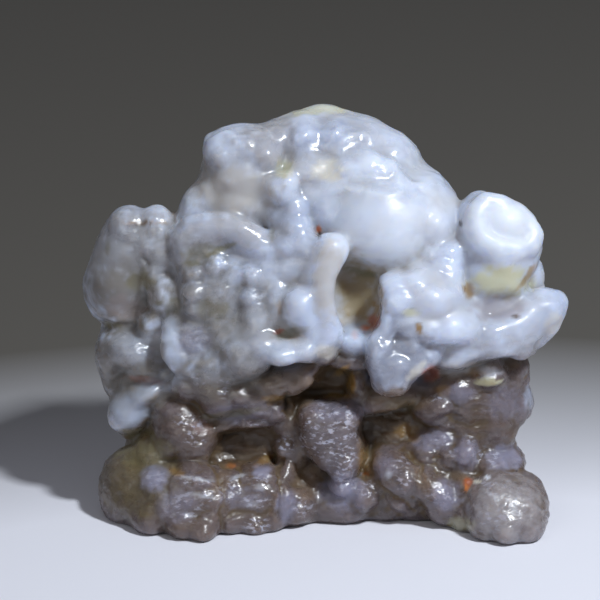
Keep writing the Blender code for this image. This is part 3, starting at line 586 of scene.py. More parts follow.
# Grooves and fine ridges on the front: half width, height, then points of across and up
STROKES = (
    # Groove between the shoulder and the crest
    (0.5, -0.25, (-4.8, 58.6), (-5.4, 56.0), (-5.3, 53.6), (-5.9, 52.0)),
    # Wavy facets on the crest
    (0.6, 0.4, (-4.0, 57.2), (-2.4, 58.4), (-0.6, 57.8), (1.6, 58.6)),
    (0.6, 0.35, (2.4, 56.6), (4.6, 57.6), (6.6, 57.2)),
    (0.5, 0.3, (-3.4, 55.4), (-0.8, 56.2), (2.0, 55.4)),
    # Wavy facets on the upper part of the great dome
    (0.6, 0.35, (0.6, 49.6), (2.6, 50.4), (4.6, 50.0)),
    (0.6, 0.4, (4.4, 51.6), (6.6, 51.2), (8.4, 52.2)),
    (0.6, 0.35, (5.8, 49.2), (8.4, 49.0), (10.6, 49.8)),
    (0.6, 0.35, (10.6, 51.6), (12.6, 50.4), (14.6, 50.8)),
    (0.5, 0.3, (2.0, 52.4), (4.0, 53.2), (6.4, 53.0)),
    # Facets on the shoulder
    (0.6, 0.35, (-16.8, 56.8), (-14.6, 57.8), (-12.4, 57.0)),
    (0.6, 0.35, (-10.8, 57.2), (-9.4, 58.2), (-7.8, 57.6)),
    (0.6, 0.3, (-17.0, 50.2), (-15.0, 51.2), (-13.4, 50.8)),
    # Valley between the arch and the shoulder
    (0.8, -0.3, (-17.6, 47.6), (-15.4, 47.4), (-12.6, 46.8), (-10.0, 45.8)),
    # Fold inside the arch
    (0.8, -0.22, (-18.6, 41.4), (-16.4, 42.0), (-13.6, 41.9), (-11.0, 40.8), (-9.4, 39.4)),
    # Edges of the knob
    (0.6, -0.25, (-1.8, 36.4), (-3.8, 36.6), (-5.6, 35.4), (-6.3, 33.4), (-6.0, 31.4), (-4.4, 30.2)),
    # Crack across the top of the horn
    (0.4, -0.2, (-28.6, 45.0), (-26.8, 45.1), (-25.0, 45.5), (-23.0, 45.2), (-21.6, 45.4)),
    # Crease under the horn's belly
    (0.6, -0.5, (-33.0, 31.0), (-31.0, 30.6), (-29.5, 30.5), (-27.6, 31.0)),
    # Groove between the stack's boulder and its arm
    (0.6, -0.5, (-28.6, 22.4), (-26.0, 22.7), (-23.2, 23.6)),
    # Crease round the foot of the tooth
    (0.5, -0.15, (19.4, 39.0), (20.6, 35.8), (22.4, 34.9), (24.6, 34.7), (26.8, 35.4), (28.2, 37.0)),
    # Bright ridge over the left foot
    (0.45, 0.5, (-21.2, 8.9), (-19.0, 9.0), (-17.0, 8.6), (-15.8, 7.6)),
    # Arch line of the tongue
    (0.5, 0.35, (8.6, 27.4), (9.0, 29.2), (10.4, 30.2), (12.0, 29.4), (12.6, 27.4)),
    # Lip of the tongue
    (0.5, 0.25, (7.4, 24.0), (8.6, 21.8), (10.4, 21.4), (12.2, 23.2), (13.8, 25.2)),
    # Scratch-like steps beside the white lip
    (0.25, -0.22, (-21.0, 30.2), (-19.4, 29.4), (-18.2, 28.2)),
    (0.25, -0.22, (-21.2, 29.0), (-19.8, 28.0), (-18.8, 26.8)),
    (0.25, 0.2, (-20.6, 30.8), (-18.6, 30.0), (-17.2, 28.8)),
    # Crevices between the left foot's chunks
    (0.4, -0.45, (-16.2, 10.8), (-14.9, 8.8), (-14.2, 6.4), (-15.2, 4.2), (-14.4, 2.2)),
    (0.4, -0.5, (-6.3, 11.4), (-6.7, 8.6), (-6.0, 6.2), (-6.3, 3.4)),
    (0.4, -0.35, (-13.6, 3.9), (-11.4, 4.6), (-9.4, 3.8), (-7.6, 4.6)),
    (0.4, -0.35, (-11.6, 10.6), (-12.4, 8.4), (-11.6, 6.8), (-9.4, 7.2)),
    (0.4, -0.35, (-20.6, 11.0), (-22.2, 8.8), (-22.6, 5.8), (-21.2, 3.4)),
    (0.4, -0.3, (-20.8, 4.4), (-18.4, 4.0), (-16.4, 4.6)),
    # Crevices between the lower right's lobes
    (0.4, -0.5, (6.6, 13.6), (6.1, 11.0), (7.7, 8.2), (10.2, 5.8), (12.6, 4.6)),
    (0.4, -0.4, (12.0, 12.8), (13.4, 10.8), (14.0, 8.6), (14.8, 6.0)),
    (0.4, -0.4, (15.0, 16.5), (17.4, 17.0), (20.4, 16.3), (22.8, 16.9)),
    (0.4, -0.35, (13.2, 12.3), (15.6, 11.8), (18.0, 11.4), (20.0, 10.4)),
    (0.4, -0.3, (17.0, 20.9), (18.8, 19.3), (20.8, 18.6), (22.8, 19.2)),
    (0.4, -0.3, (20.6, 15.4), (21.6, 13.6), (21.2, 11.6)),
    # Crevice between the horn's belly and its stem
    (0.4, -0.3, (-25.4, 41.0), (-25.0, 38.4), (-25.6, 35.6), (-25.8, 33.0)),
    # Dark crack over the middle foot
    (0.3, -0.5, (-5.4, 21.2), (-5.8, 20.0), (-5.3, 19.0), (-5.8, 18.2)),
    # Ring on the small knob beside the left recess
    (0.4, -0.4, (-5.0, 14.4), (-5.7, 13.6), (-5.2, 12.7)),
)

# Colours that the patches use
PALETTE = {
    "white": (0.76, 0.81, 0.90),
    "blue": (0.50, 0.58, 0.74),
    "lavender": (0.315, 0.32, 0.45),
    "cream": (0.74, 0.70, 0.60),
    "yellow": (0.60, 0.58, 0.36),
    "clear": (0.21, 0.19, 0.17),
    "haze": (0.245, 0.26, 0.33),
    "sand": (0.40, 0.38, 0.40),
    "beige": (0.47, 0.44, 0.41),
    "olive": (0.20, 0.175, 0.08),
    "ochre": (0.33, 0.19, 0.05),
    "cavern_brown_and_glow": (0.33, 0.25, 0.135),
    "rust": (0.42, 0.09, 0.015),
    "orange": (0.72, 0.22, 0.03),
    "brown": (0.085, 0.05, 0.028),
    "umber": (0.2, 0.135, 0.08),
    "dark_brown_and_shade": (0.1, 0.062, 0.032),
    "black": (0.02, 0.014, 0.01),
    "pink": (0.45, 0.33, 0.33),
}

# Patches on the front: colour, strength, across, up, half width, half height, and a lean in degrees
PATCHES = (
    # Clear grey on the left horn and stack: partly the stone's grey clear agate, partly painted shade that
    # darkens the left side, away from the key lamp
    ("clear", 0.6, -28.6, 40.0, 7.0, 9.0),
    ("clear", 0.8, -28.6, 34.4, 6.0, 5.0),
    ("clear", 0.7, -28.0, 25.4, 6.0, 5.4),
    ("clear", 0.35, -28.0, 20.0, 5.0, 5.0),
    ("clear", 0.3, -19.6, 31.0, 4.0, 7.0),
    ("clear", 0.35, -12.6, 51.0, 6.0, 6.0),
    ("umber", 0.4, 15.4, 22.4, 3.0, 1.6, -20),
    ("umber", 0.15, -17.0, 4.0, 9.0, 4.0),
    # Clear grey over the stack, partly painted shade on the side away from the key lamp
    ("clear", 0.75, -28.0, 24.0, 6.0, 8.0),
    ("clear", 0.5, -20.4, 40.0, 3.0, 5.0),
    ("beige", 0.5, -7.5, 57.0, 3.6, 3.6),
    ("haze", 0.3, -4.6, 44.6, 3.4, 5.0),
    ("haze", 0.45, -14.0, 44.0, 8.0, 3.4),
    ("haze", 0.35, -20.2, 28.8, 3.4, 5.0),
    ("haze", 0.3, -20.2, 38.0, 3.4, 5.0),
    ("haze", 0.42, -7.6, 56.0, 5.0, 4.0),
    ("haze", 0.2, 1.0, 57.6, 8.0, 3.0),
    # Paler milk on the great dome's lower part: partly its white milk, partly painted light that lifts the
    # shade it lies in
    ("white", 0.5, 9.4, 41.4, 6.0, 2.2),
    ("dark_brown_and_shade", 0.45, 0.8, 14.6, 4.2, 5.6),
    ("lavender", 0.3, -12.5, 18.0, 4.0, 1.4),
    ("beige", 0.4, 20.0, 24.6, 4.0, 1.2),
    ("umber", 0.5, -2.6, 9.6, 2.2, 4.0),
    ("umber", 0.4, 6.6, 12.4, 1.6, 3.4),
    ("dark_brown_and_shade", 0.45, -21.0, 14.6, 3.6, 3.4),
    ("dark_brown_and_shade", 0.25, -27.6, 8.0, 4.0, 3.6),
    ("beige", 0.3, -14.0, 44.0, 8.0, 3.0),
    ("white", 0.38, 7.4, 47.6, 9.0, 8.0),
    ("clear", 0.65, -17.6, 33.0, 5.6, 9.0),
    ("clear", 0.45, -11.0, 30.0, 6.0, 9.0),
    ("clear", 0.6, -14.0, 23.6, 9.0, 3.6),
    ("haze", 0.75, 10.6, 25.4, 5.4, 5.6),
    ("clear", 0.25, 27.0, 31.0, 8.0, 4.0, -20),
    ("beige", 0.7, 0.8, 37.0, 2.6, 6.0),
    ("beige", 0.6, -13.0, 50.0, 6.0, 3.4),
    ("beige", 0.4, -2.0, 53.0, 5.0, 2.4),
    ("sand", 0.6, 25.6, 4.6, 5.8, 5.4),
    ("olive", 0.35, -27.0, 9.0, 5.6, 6.0),
    ("olive", 0.4, -25.5, 12.6, 4.5, 2.2),
    ("olive", 0.45, -27.0, 15.4, 3.0, 0.7),
    ("olive", 0.5, -13.0, 18.2, 4.6, 0.6, -8),
    ("umber", 0.5, 9.0, 19.6, 4.2, 2.6),
    ("umber", 0.7, 5.4, 12.0, 1.0, 4.0),
    ("ochre", 0.45, -25.2, 45.3, 3.6, 0.35),
    ("brown", 0.6, -26.2, 45.1, 2.4, 0.3, -6),
    ("olive", 0.35, -31.0, 41.6, 0.4, 1.2, 15),
    ("olive", 0.5, -26.2, 37.0, 2.2, 1.6),
    ("pink", 0.22, -28.5, 33.2, 3.0, 1.8),
    ("olive", 0.7, -30.6, 30.6, 1.5, 0.5),
    ("rust", 0.35, -25.6, 22.9, 2.8, 0.5, 8),
    ("olive", 0.5, -18.8, 39.5, 1.6, 0.5),
    ("olive", 0.6, -14.6, 41.5, 2.6, 0.5, -25),
    ("olive", 0.3, -17.0, 41.0, 3.4, 1.4),
    ("olive", 0.4, -22.0, 33.5, 2.0, 1.4),
    ("olive", 0.4, -16.0, 33.0, 2.6, 1.6),
    ("olive", 0.35, -7.6, 43.8, 0.5, 1.2),
    ("orange", 0.7, -0.9, 44.3, 0.45, 0.6),
    ("brown", 0.8, -0.8, 43.4, 0.3, 0.6),
    ("yellow", 0.5, -5.8, 52.8, 1.3, 1.4),
    ("cream", 0.6, 0.2, 52.6, 2.6, 1.6),
    ("yellow", 0.6, -1.0, 61.6, 7.0, 0.9, -4),
    ("white", 0.65, 24.6, 44.4, 5.6, 4.6),
    ("yellow", 0.8, 25.0, 37.0, 4.6, 2.4),
    ("ochre", 0.8, 20.4, 35.6, 0.8, 1.2),
    ("ochre", 0.7, 28.8, 37.8, 0.5, 2.4, 35),
    ("brown", 0.8, 19.2, 45.1, 0.3, 0.5),
    ("pink", 0.35, 24.6, 33.2, 3.6, 1.8),
    ("haze", 0.35, 24.6, 33.4, 3.6, 2.2),
    ("brown", 0.8, 27.0, 31.9, 0.5, 0.4),
    ("cream", 0.4, 32.8, 30.6, 1.6, 2.2),
    ("ochre", 0.4, -6.5, 33.2, 0.4, 1.0),
    ("olive", 0.45, -4.8, 29.6, 2.6, 0.7, -15),
    ("rust", 0.6, -6.6, 29.8, 0.8, 0.35, -20),
    ("cream", 0.5, 0.2, 27.0, 1.8, 1.0),
    # Bluish lobe below the knob: partly the stone's blue tint, partly a painted highlight where it stands
    # out
    ("blue", 0.5, -6.5, 26.8, 3.0, 1.8),
    # Brown inside the deep hollow, made pale to paint in light shining through the stone
    ("cavern_brown_and_glow", 0.95, 4.8, 34.8, 3.2, 4.8),
    ("olive", 0.7, 5.0, 38.3, 2.4, 0.6, 12),
    ("rust", 0.75, 6.9, 31.4, 0.9, 1.2),
    ("ochre", 0.7, 7.2, 33.2, 0.6, 1.4),
    ("orange", 0.9, 5.7, 30.3, 0.8, 0.5),
    ("orange", 0.8, 4.2, 29.3, 0.5, 0.7),
    ("blue", 0.7, 4.4, 28.9, 2.2, 2.4),
    ("yellow", 0.6, 12.0, 32.4, 1.4, 0.7),
    ("ochre", 0.85, 13.3, 30.2, 0.5, 0.9, -15),
    ("cream", 0.6, 12.8, 24.2, 1.8, 0.7, -45),
    ("black", 0.9, 10.9, 21.9, 0.35, 0.35),
    ("ochre", 0.5, 21.3, 24.0, 1.0, 0.8),
    ("rust", 0.6, 15.0, 23.8, 1.4, 1.2, -30),
    ("ochre", 0.6, 16.8, 21.5, 1.2, 0.9),
    ("yellow", 0.6, 23.2, 22.6, 2.2, 0.6),
    ("white", 0.5, 23.4, 24.2, 1.8, 0.8),
    ("blue", 0.4, 29.3, 20.2, 0.9, 2.2),
    ("olive", 0.5, 11.0, 19.5, 2.4, 1.2),
    ("umber", 0.85, 0.6, 22.6, 2.8, 2.2),
    ("umber", 0.45, -6.0, 21.8, 4.4, 2.0, -10),
    ("umber", 0.5, 12.0, 20.6, 4.0, 2.0),
    ("ochre", 0.8, 2.4, 24.3, 1.6, 0.5, -35),
    ("ochre", 0.8, 3.8, 22.4, 0.6, 1.6),
    ("ochre", 0.7, 1.8, 20.5, 2.2, 0.5),
    ("ochre", 0.6, -7.3, 20.3, 1.8, 0.6),
    ("black", 0.85, -5.6, 19.8, 0.35, 1.5),
    # Painted shade in the dark recess over the left foot
    ("dark_brown_and_shade", 0.9, -11.6, 13.4, 4.6, 2.8),
    ("orange", 0.4, -13.4, 10.7, 0.8, 0.35),
    ("ochre", 0.45, -21.0, 9.9, 1.2, 0.5, 20),
    ("ochre", 0.5, -8.6, 11.4, 1.6, 0.6, -30),
    ("brown", 0.5, -4.6, 16.6, 2.0, 1.6),
    ("pink", 0.35, -17.6, 16.2, 1.6, 1.2),
    # Painted shade in the dark recess over the middle knob
    ("dark_brown_and_shade", 0.9, 8.6, 16.2, 4.4, 2.4, -10),
    ("ochre", 0.6, 12.8, 14.6, 1.0, 0.7),
    ("ochre", 0.5, 11.6, 15.6, 2.0, 1.0),
    ("orange", 0.4, 5.9, 9.5, 0.6, 0.4),
    ("ochre", 0.4, 5.6, 11.6, 0.8, 2.0),
    ("umber", 0.6, 19.2, 9.0, 1.8, 1.0, 30),
    ("rust", 0.8, 20.3, 8.5, 0.7, 0.6, -20),
    ("orange", 0.8, 20.0, 7.6, 0.35, 0.6),
    ("cream", 0.8, 21.6, 8.5, 0.6, 0.3),
    ("white", 0.9, 23.0, 9.1, 0.4, 0.35),
    ("yellow", 0.35, 19.3, 2.4, 1.8, 1.2),
    ("lavender", 0.7, -24.2, 9.0, 2.0, 1.8),
    # Thin white marks on the feet: partly whitish frost in the stone, partly painted glints along its
    # bright edges
    ("white", 0.35, -17.2, 6.6, 1.8, 0.4, 10),
    ("white", 0.35, -12.6, 9.2, 1.2, 0.35, -15),
    ("white", 0.3, 23.6, 6.8, 1.4, 0.35, 30),
    ("white", 0.3, 26.8, 5.4, 0.35, 1.6, 10),
    ("white", 0.35, -18.4, 9.0, 2.4, 0.35, 8),
    ("white", 0.25, -9.2, 7.8, 0.9, 0.6, 20),
    ("white", 0.25, -10.4, 5.4, 1.0, 0.5),
    ("lavender", 0.6, -9.0, 9.8, 1.4, 1.2),
    ("lavender", 0.5, -5.4, 5.0, 1.6, 2.2),
    ("lavender", 0.35, -21.0, 5.0, 3.0, 2.4),
    ("lavender", 0.3, 8.6, 10.4, 1.8, 1.8),
    # Painted glint on the lower right's lobe
    ("white", 0.45, 9.0, 9.4, 0.7, 0.6),
    # Lavender on the lower right's lobes: partly the stone's lavender tint, partly painted glints
    ("lavender", 0.45, 15.4, 14.4, 3.0, 1.6),
    ("lavender", 0.45, 20.0, 12.4, 1.8, 2.4),
    ("lavender", 0.6, 25.8, 11.8, 2.8, 1.9),
    ("lavender", 0.5, 17.0, 6.6, 2.4, 2.4),
    ("lavender", 0.35, 19.0, 21.0, 2.4, 1.4),
    ("lavender", 0.2, 26.0, 19.6, 3.4, 2.6),
    ("lavender", 0.5, 2.6, 7.0, 3.4, 2.8),
    ("lavender", 0.35, 2.4, 18.8, 4.4, 1.6),
    ("lavender", 0.3, -11.6, 6.4, 3.4, 1.6),
    ("umber", 0.45, -14.6, 8.6, 1.2, 2.6, 20),
    ("umber", 0.4, 14.0, 8.4, 1.0, 3.2, -30),
    ("blue", 0.5, -28.0, 18.6, 2.8, 2.4),
    ("blue", 0.4, -25.4, 21.6, 2.8, 1.2, -30),
    ("blue", 0.35, -27.4, 27.4, 3.2, 2.4),
    ("blue", 0.5, -21.7, 27.8, 1.2, 3.6),
    ("lavender", 0.4, -18.6, 28.4, 2.4, 2.4),
    ("lavender", 0.15, 0.8, 14.0, 3.8, 5.4),
)

# Clouds of colour on the sides and rear: colour, strength, size across, seed
REAR_CLOUDS = (
    ("clear", 0.24, 9.0, 81),
    ("lavender", 0.2, 5.0, 84),
    ("beige", 0.26, 6.5, 87),
    ("cream", 0.2, 3.4, 93),
)

# Lower edge of the milky cap as seen from the front: across, up
CAP_EDGE = (
    (-36.0, 15.5),
    (-31.0, 15.5),
    (-27.0, 16.0),
    (-24.0, 20.5),
    (-21.0, 22.6),
    (-17.0, 23.4),
    (-13.0, 23.6),
    (-9.0, 24.2),
    (-6.0, 24.6),
    (-2.0, 25.6),
    (2.0, 27.4),
    (5.6, 27.0),
    (7.0, 22.4),
    (10.0, 20.8),
    (13.0, 23.6),
    (16.0, 25.4),
    (18.0, 24.6),
    (22.0, 25.4),
    (26.0, 26.0),
    (30.0, 27.2),
    (36.0, 28.0),
)

# Places on the front whose skin is glassy and hackly: amount, across, up, half width, half height
HACKLY = (
    (0.9, -0.6, 15.6, 3.4, 4.0),
    (0.9, 2.4, 13.2, 2.4, 5.0),
    (0.9, 1.0, 18.2, 4.4, 1.5),
    (0.7, 2.8, 8.8, 1.6, 2.0),
    (0.8, 6.0, 7.2, 1.7, 1.5),
    (0.8, 11.0, 8.7, 1.3, 1.6),
    (0.7, 11.0, 11.2, 1.2, 0.9),
    (0.6, 16.2, 6.6, 2.2, 1.5),
    (0.7, 16.4, 14.4, 1.6, 0.9),
    (0.8, 20.4, 14.3, 0.9, 0.8),
    (0.6, 17.8, 12.6, 1.2, 0.6),
    (0.8, 23.2, 12.0, 2.4, 1.3),
    (0.8, 15.8, 20.3, 1.3, 0.7),
    (0.5, 21.2, 20.6, 0.8, 0.5),
    (0.8, -19.2, 17.0, 2.4, 1.3),
    (0.7, -18.8, 14.6, 2.0, 1.2),
    (0.8, -10.4, 16.8, 2.6, 0.7),
    (1.0, -5.6, 13.7, 1.3, 1.3),
    (0.9, -18.4, 8.7, 2.8, 0.7),
    (0.9, -16.7, 6.4, 1.3, 1.0),
    (0.6, -19.6, 5.0, 3.0, 2.6),
    (0.8, -9.2, 8.6, 1.4, 1.1),
    (0.9, -9.8, 5.7, 2.3, 1.0),
    (0.9, -9.6, 2.4, 2.2, 1.2),
    (0.6, -13.6, 7.4, 1.5, 2.4),
    (0.7, -3.2, 4.8, 2.1, 1.4),
    (0.5, -24.2, 9.2, 1.7, 1.6),
    (0.6, 23.2, 7.8, 2.4, 1.2),
    (0.6, 23.2, 3.0, 2.2, 1.8),
    (0.4, 27.0, 5.0, 3.0, 3.0),
    (0.9, -18.4, 28.6, 2.0, 1.8),
    (0.9, -18.4, 38.2, 2.0, 1.0),
    (0.9, -15.0, 39.6, 1.8, 1.1),
    (0.9, -10.9, 38.4, 1.6, 1.1),
    (0.9, -19.2, 34.4, 1.4, 1.4),
    (0.7, -15.6, 35.4, 1.8, 2.2),
    (0.8, -10.0, 35.0, 1.6, 2.0),
    (0.6, -14.6, 31.0, 2.4, 2.0),
    (0.8, -28.0, 43.4, 2.0, 1.0),
    (0.8, -24.2, 44.0, 1.2, 0.9),
    (0.7, -26.0, 41.6, 2.0, 0.9),
    (0.6, -27.0, 27.6, 2.4, 1.4),
    (0.5, 8.0, 52.0, 3.0, 2.0),
    (0.5, 2.4, 50.2, 2.0, 1.0),
    (0.5, 2.6, 58.0, 3.0, 1.4),
    (0.5, -9.4, 57.8, 2.6, 1.2),
    (0.5, 16.4, 40.4, 2.0, 2.4),
    (0.8, -17.8, 23.2, 1.8, 1.0),
    (0.7, -14.4, 22.0, 1.0, 1.6),
    (0.4, 23.0, 23.8, 2.0, 1.0),
)

# Places on the front whose skin is calm and smooth, in the same order
CALM = (
    (0.85, 24.8, 42.0, 6.2, 7.0),
    (0.8, 24.6, 33.6, 4.2, 2.6),
    (0.8, 7.6, 43.6, 6.8, 6.0),
    (0.7, 16.0, 46.4, 4.0, 4.0),
    (0.8, 4.6, 34.8, 3.0, 4.6),
    (0.6, -30.6, 38.0, 3.6, 5.4),
    (0.6, -13.0, 50.4, 4.6, 4.0),
    (0.6, -3.6, 32.6, 3.0, 3.0),
    (0.5, -21.6, 27.4, 1.8, 4.0),
    (0.6, 16.6, 32.0, 6.0, 3.4),
    (0.5, 29.0, 31.6, 5.0, 2.6),
    (0.6, 1.0, 37.0, 2.4, 6.0),
    (0.5, -27.6, 19.6, 3.0, 2.6),
)

# Scale of the skin's faces on the front and on the rear, and the depths between which it falls
FINE_FRONT, COARSE_REAR = 1.0, 0.62
WARP_STARTS, WARP_ENDS = -2.0, 14.0

# Points round each ball and from pole to pole, and a ridge's step from ball to ball in radii
BALL_ROUND, BALL_TALL = 24, 14
RIDGE_STEP = 0.5

# How the skin is drawn on: longest step, least steepness, rounds with and without evening out
LONGEST_STEP, LEAST_STEEP = 0.4, 0.2
FIRST_ROUNDS, LAST_ROUNDS = 7, 3
EVEN_ROUNDS, EVEN_SHARE = 2, 0.6

# Softness of the joins between lumps, in millimetres: on the foot, less on the cap, more behind
JOIN, CAP_LESS, REAR_MORE, REAR_CAP_LESS = 0.58, 0.04, 0.34, 0.08
CAP_HEIGHTS, REAR_DEPTHS = (16.0, 24.0), (1.0, 8.0)
PIT_JOIN, FLOOR_JOIN = 0.8, 0.15

# In shares of the softness: how much thinner the joined stone is, and how far a lump is felt
JOIN_THINS, JOIN_REACH = 0.35, 5.0

# Edge between milk and smoke in front: size and seed of its waves, how far it wanders, its width
EDGE_WAVE, EDGE_WANDER, EDGE_WIDTH = (4.0, 11), 0.7, 2.6

# The same edge behind: its height, the depths on the way there, and what wander and width gain
EDGE_REAR_HEIGHT, EDGE_DEPTHS = 21.0, (1.0, 9.0)
EDGE_WANDER_MORE, EDGE_WIDTH_MORE = 3.5, 3.0

# Waves and knobs of the relief: size across, seed and share of the set height
SWELLS = ((2.9, 31, 0.55), (1.6, 34, 0.4), (1.0, 37, 0.2))
SMALL_KNOBS = ((3.0, 41, 0.7), (1.7, 44, 0.25))
BROAD_KNOBS = (4.4, 47)
SHARDS, SHARD_SHARE = (1.9, 51), 0.7
SPLINTERS, SPLINTER_SHARE = (0.8, 54), 0.5

# Stretch of the undulations, and the slant and stretch of the broken places
SWELL_STRETCH = np.array((0.62, 0.8, 1.15))
SHARD_GRAIN = np.array(((0.9, 0.0, 0.45), (0.0, 0.6, 0.0), (-1.1, 0.0, 2.3)))

# Middle height of the knobs, how much taller the broad ones are, and the depths where they start
SMALL_MIDDLE, BROAD_MIDDLE, BROAD_TALLER = 0.5, 0.6, 1.6
KNOB_DEPTHS = (2.0, 8.0)

# How much each mask takes from the relief, what the foot has of the shards, and the flat below
CALM_FLATTENS, HACKLE_FLATTENS, MILK_FLATTENS = 0.8, 0.55, 0.65
FOOT_HACKLE = 0.5
FLAT_FOOT = 1.5

# Random shifts that bend a pattern: how far, size across, and a seed for each axis
PATTERN_BEND = (1.1, 6.0, (21, 24, 27))
STROKE_WOBBLE = (0.7, 2.4, (71, 74))

# Gain of the waves, softness of the creases between knobs, and room for a knob's middle in its cell
WAVE_GAIN = 1.6
KNOB_SOFTNESS = 0.06
MIDDLE_SPREAD, MIDDLE_MARGIN = 0.8, 0.1

# Numbers that scramble a lattice cell into a random number
CELL_MIX = np.array((0x9E3779B1, 0x85EBCA77, 0xC2B2AE3D))
SEED_STEP = 7919
SCRAMBLES = ((15, 0x2C1B3C6D), (12, 0x297A2D39))
LAST_SHIFT = 15

# How soon the front ends where the skin turns away
FACING_STEEP, FACING_EDGE = 4.0, 0.6

# Where the edges of spots and patches lie, the waves that fray a patch, and the clouds' contrast
SPOT_EDGE, PATCH_EDGE = 1.3, 1.35
FRAYS = ((1.6, 61, 0.45), (0.9, 64, 0.5))
CLOUD_STEEP, CLOUD_LESS = 2.6, 0.1

# Least values that keep a division or a logarithm from failing, the most that an exponential is
# given, and a distance beyond every stroke
TINY, LEAST_SUM, LEAST_KNOB, LEAST_PAINT = 1e-9, 1e-17, 1e-12, 0.001
MOST_POWER, FAR_AWAY = 40, 99.0

# How far out the stone is felt for, and the rounds and full marks of creases and raised places
SHUT_DEPTHS = (1.5, 3.0, 5.5)
CREASE_ROUNDS, CREASE_FULL = 2, 0.035
RAISED_ROUNDS, RAISED_FULL = 24, 0.022

# Masks that the skin carries for its material, and the stretch and turn of the material's patterns
MASKS = ("milk", "crease", "raised", "lively", "hackly", "closed")
RIPPLE_STRETCH = (0.6, 0.8, 1.4)
STREAK_TURN, STREAK_STRETCH = (0.0, 0.35, 0.0), (0.7, 0.8, 1.35)

# The picture's frame in millimetres: what its middle shows, and its width at the stone
FRAME_MIDDLE, FRAME_WIDTH = (-3.571, 34.286), 85.714
SENSOR_WIDTH, CAMERA_SEES = 36.0, (0.01, 50.0)

# The studio in metres. The floor has a painted pool of light, palest in front and to the right of the
# stone.
FLOOR_HALF = 3.0
LIGHT_POOL_MIDDLE, LIGHT_POOL_SHARE = (0.01, -0.1, 0.0), 0.58
LAMP_AIM = Vector((0.0, 0.0, 0.03))
KEY_PLACE, KEY_SIZE, KEY_COLOR = Vector((0.21, -0.18, 0.4)), 0.05, (0.9, 0.95, 1.0)
FILL_PLACE, FILL_SIZE, FILL_COLOR = Vector((-0.3, -0.5, 0.35)), 0.4, (1.0, 0.97, 0.92)
SURROUNDINGS = (0.13, 0.135, 0.15, 1.0)


def seen_point(across, up, back):
    """World place of a point given as it is seen in the tilted view."""
    height = (up - FRONT_FOOT_RISE - back * math.sin(VIEW_TILT)) / math.cos(VIEW_TILT)
    return np.array((across, back, height))


def seen_up(points):
    """Height at which world points are seen in the tilted view."""
    return FRONT_FOOT_RISE + points[:, 2] * math.cos(VIEW_TILT) + points[:, 1] * math.sin(VIEW_TILT)


def part_way(values, low, high):
    """Nothing up to low and one from high, evenly in between."""
    return np.clip((values - low) / (high - low), 0, 1)


class Lump:
    """An ellipsoid that leans about the axis away from the eye."""

    def __init__(self, centre, radii, lean=0.0):
        c, s = math.cos(lean), math.sin(lean)
        self.centre, self.radii = centre, radii
        self.turn = np.array(((c, 0.0, s), (0.0, 1.0, 0.0), (-s, 0.0, c)))
        reach = radii.max() if lean else radii
        self.low, self.high = centre - reach, centre + reach

    def distance(self, points):
        """Near distance to the skin, and its slope.

        It is k (k - 1) / |q / r^2| with k = |q / r|, for a place q from the centre and radii r.
        """
        local = (points - self.centre) @ self.turn
        reach = np.linalg.norm(local / self.radii, axis=1)
        slope = local / (self.radii * self.radii)
        steep = np.linalg.norm(slope, axis=1) + TINY
        return reach * (reach - 1) / steep, (slope / steep[:, None]) @ self.turn.T


class Bar:
    """A round bar that tapers from one end to the other."""

    def __init__(self, first, last, first_radius, last_radius):
        self.first, self.last, self.radii = first, last, (first_radius, last_radius)
        self.low = np.minimum(first, last) - max(self.radii)
        self.high = np.maximum(first, last) + max(self.radii)

    def radius(self, share):
        """Radius some share of the way along."""
        return self.radii[0] + (self.radii[1] - self.radii[0]) * share

    def distance(self, points):
        """Distance to the bar's middle line, less its radius there, and its slope."""
        along, beside = self.last - self.first, points - self.first
        share = np.clip(beside @ along / (along @ along), 0, 1)
        away = beside - share[:, None] * along
        gap = np.linalg.norm(away, axis=1) + TINY
        return gap - self.radius(share), away / gap[:, None]

    def balls(self):
        """Balls along the bar, a share of the radius apart."""
        along = self.last - self.first
        steps = max(1, round(np.linalg.norm(along) / (sum(self.radii) / 2 * RIDGE_STEP)))
        shares = np.linspace(0.0, 1.0, steps + 1)
        return [Lump(self.first + along * share, np.full(3, self.radius(share))) for share in shares]


def front_lump(across, up, back, wide, deep, tall, lean=0.0):
    """A lump placed as it is seen."""
    return Lump(seen_point(across, up, back), np.array((wide, deep, tall)), math.radians(lean))


def rear_lump(across, height, back, wide, deep, tall, lean=0.0):
    """A lump placed by its true height."""
    return Lump(np.array((across, back, height)), np.array((wide, deep, tall)), math.radians(lean))


def ridge_bars():
    """A bar for every straight length of the ridges."""
    pairs = [pair for ridge in RIDGES for pair in zip(ridge, ridge[1:])]
    return [Bar(seen_point(*start[:3]), seen_point(*end[:3]), start[3], end[3]) for start, end in pairs]


def ball_skins(balls):
    """Points and faces of all balls.

    Each is an ellipsoid over two angles, a round the upright axis and b down from the pole:
    x = wide sin(b) cos(a), y = deep sin(b) sin(a), z = tall cos(b), then leaned and moved.
    """
    a, b = np.meshgrid(np.arange(BALL_ROUND) * 2 * np.pi / BALL_ROUND, np.linspace(0, np.pi, BALL_TALL))
    unit = np.stack((np.sin(b) * np.cos(a), np.sin(b) * np.sin(a), np.cos(b)), axis=-1).reshape(-1, 3)
    index = np.arange(len(unit)).reshape(BALL_TALL, BALL_ROUND)
    onward = np.roll(index, -1, axis=1)
    quads = np.stack((index[:-1], index[1:], onward[1:], onward[:-1]), axis=-1).reshape(-1, 4)
    points = [(unit * ball.radii) @ ball.turn.T + ball.centre for ball in balls]
    faces = [quads + step * len(unit) for step in range(len(balls))]
    return np.concatenate(points), np.concatenate(faces)


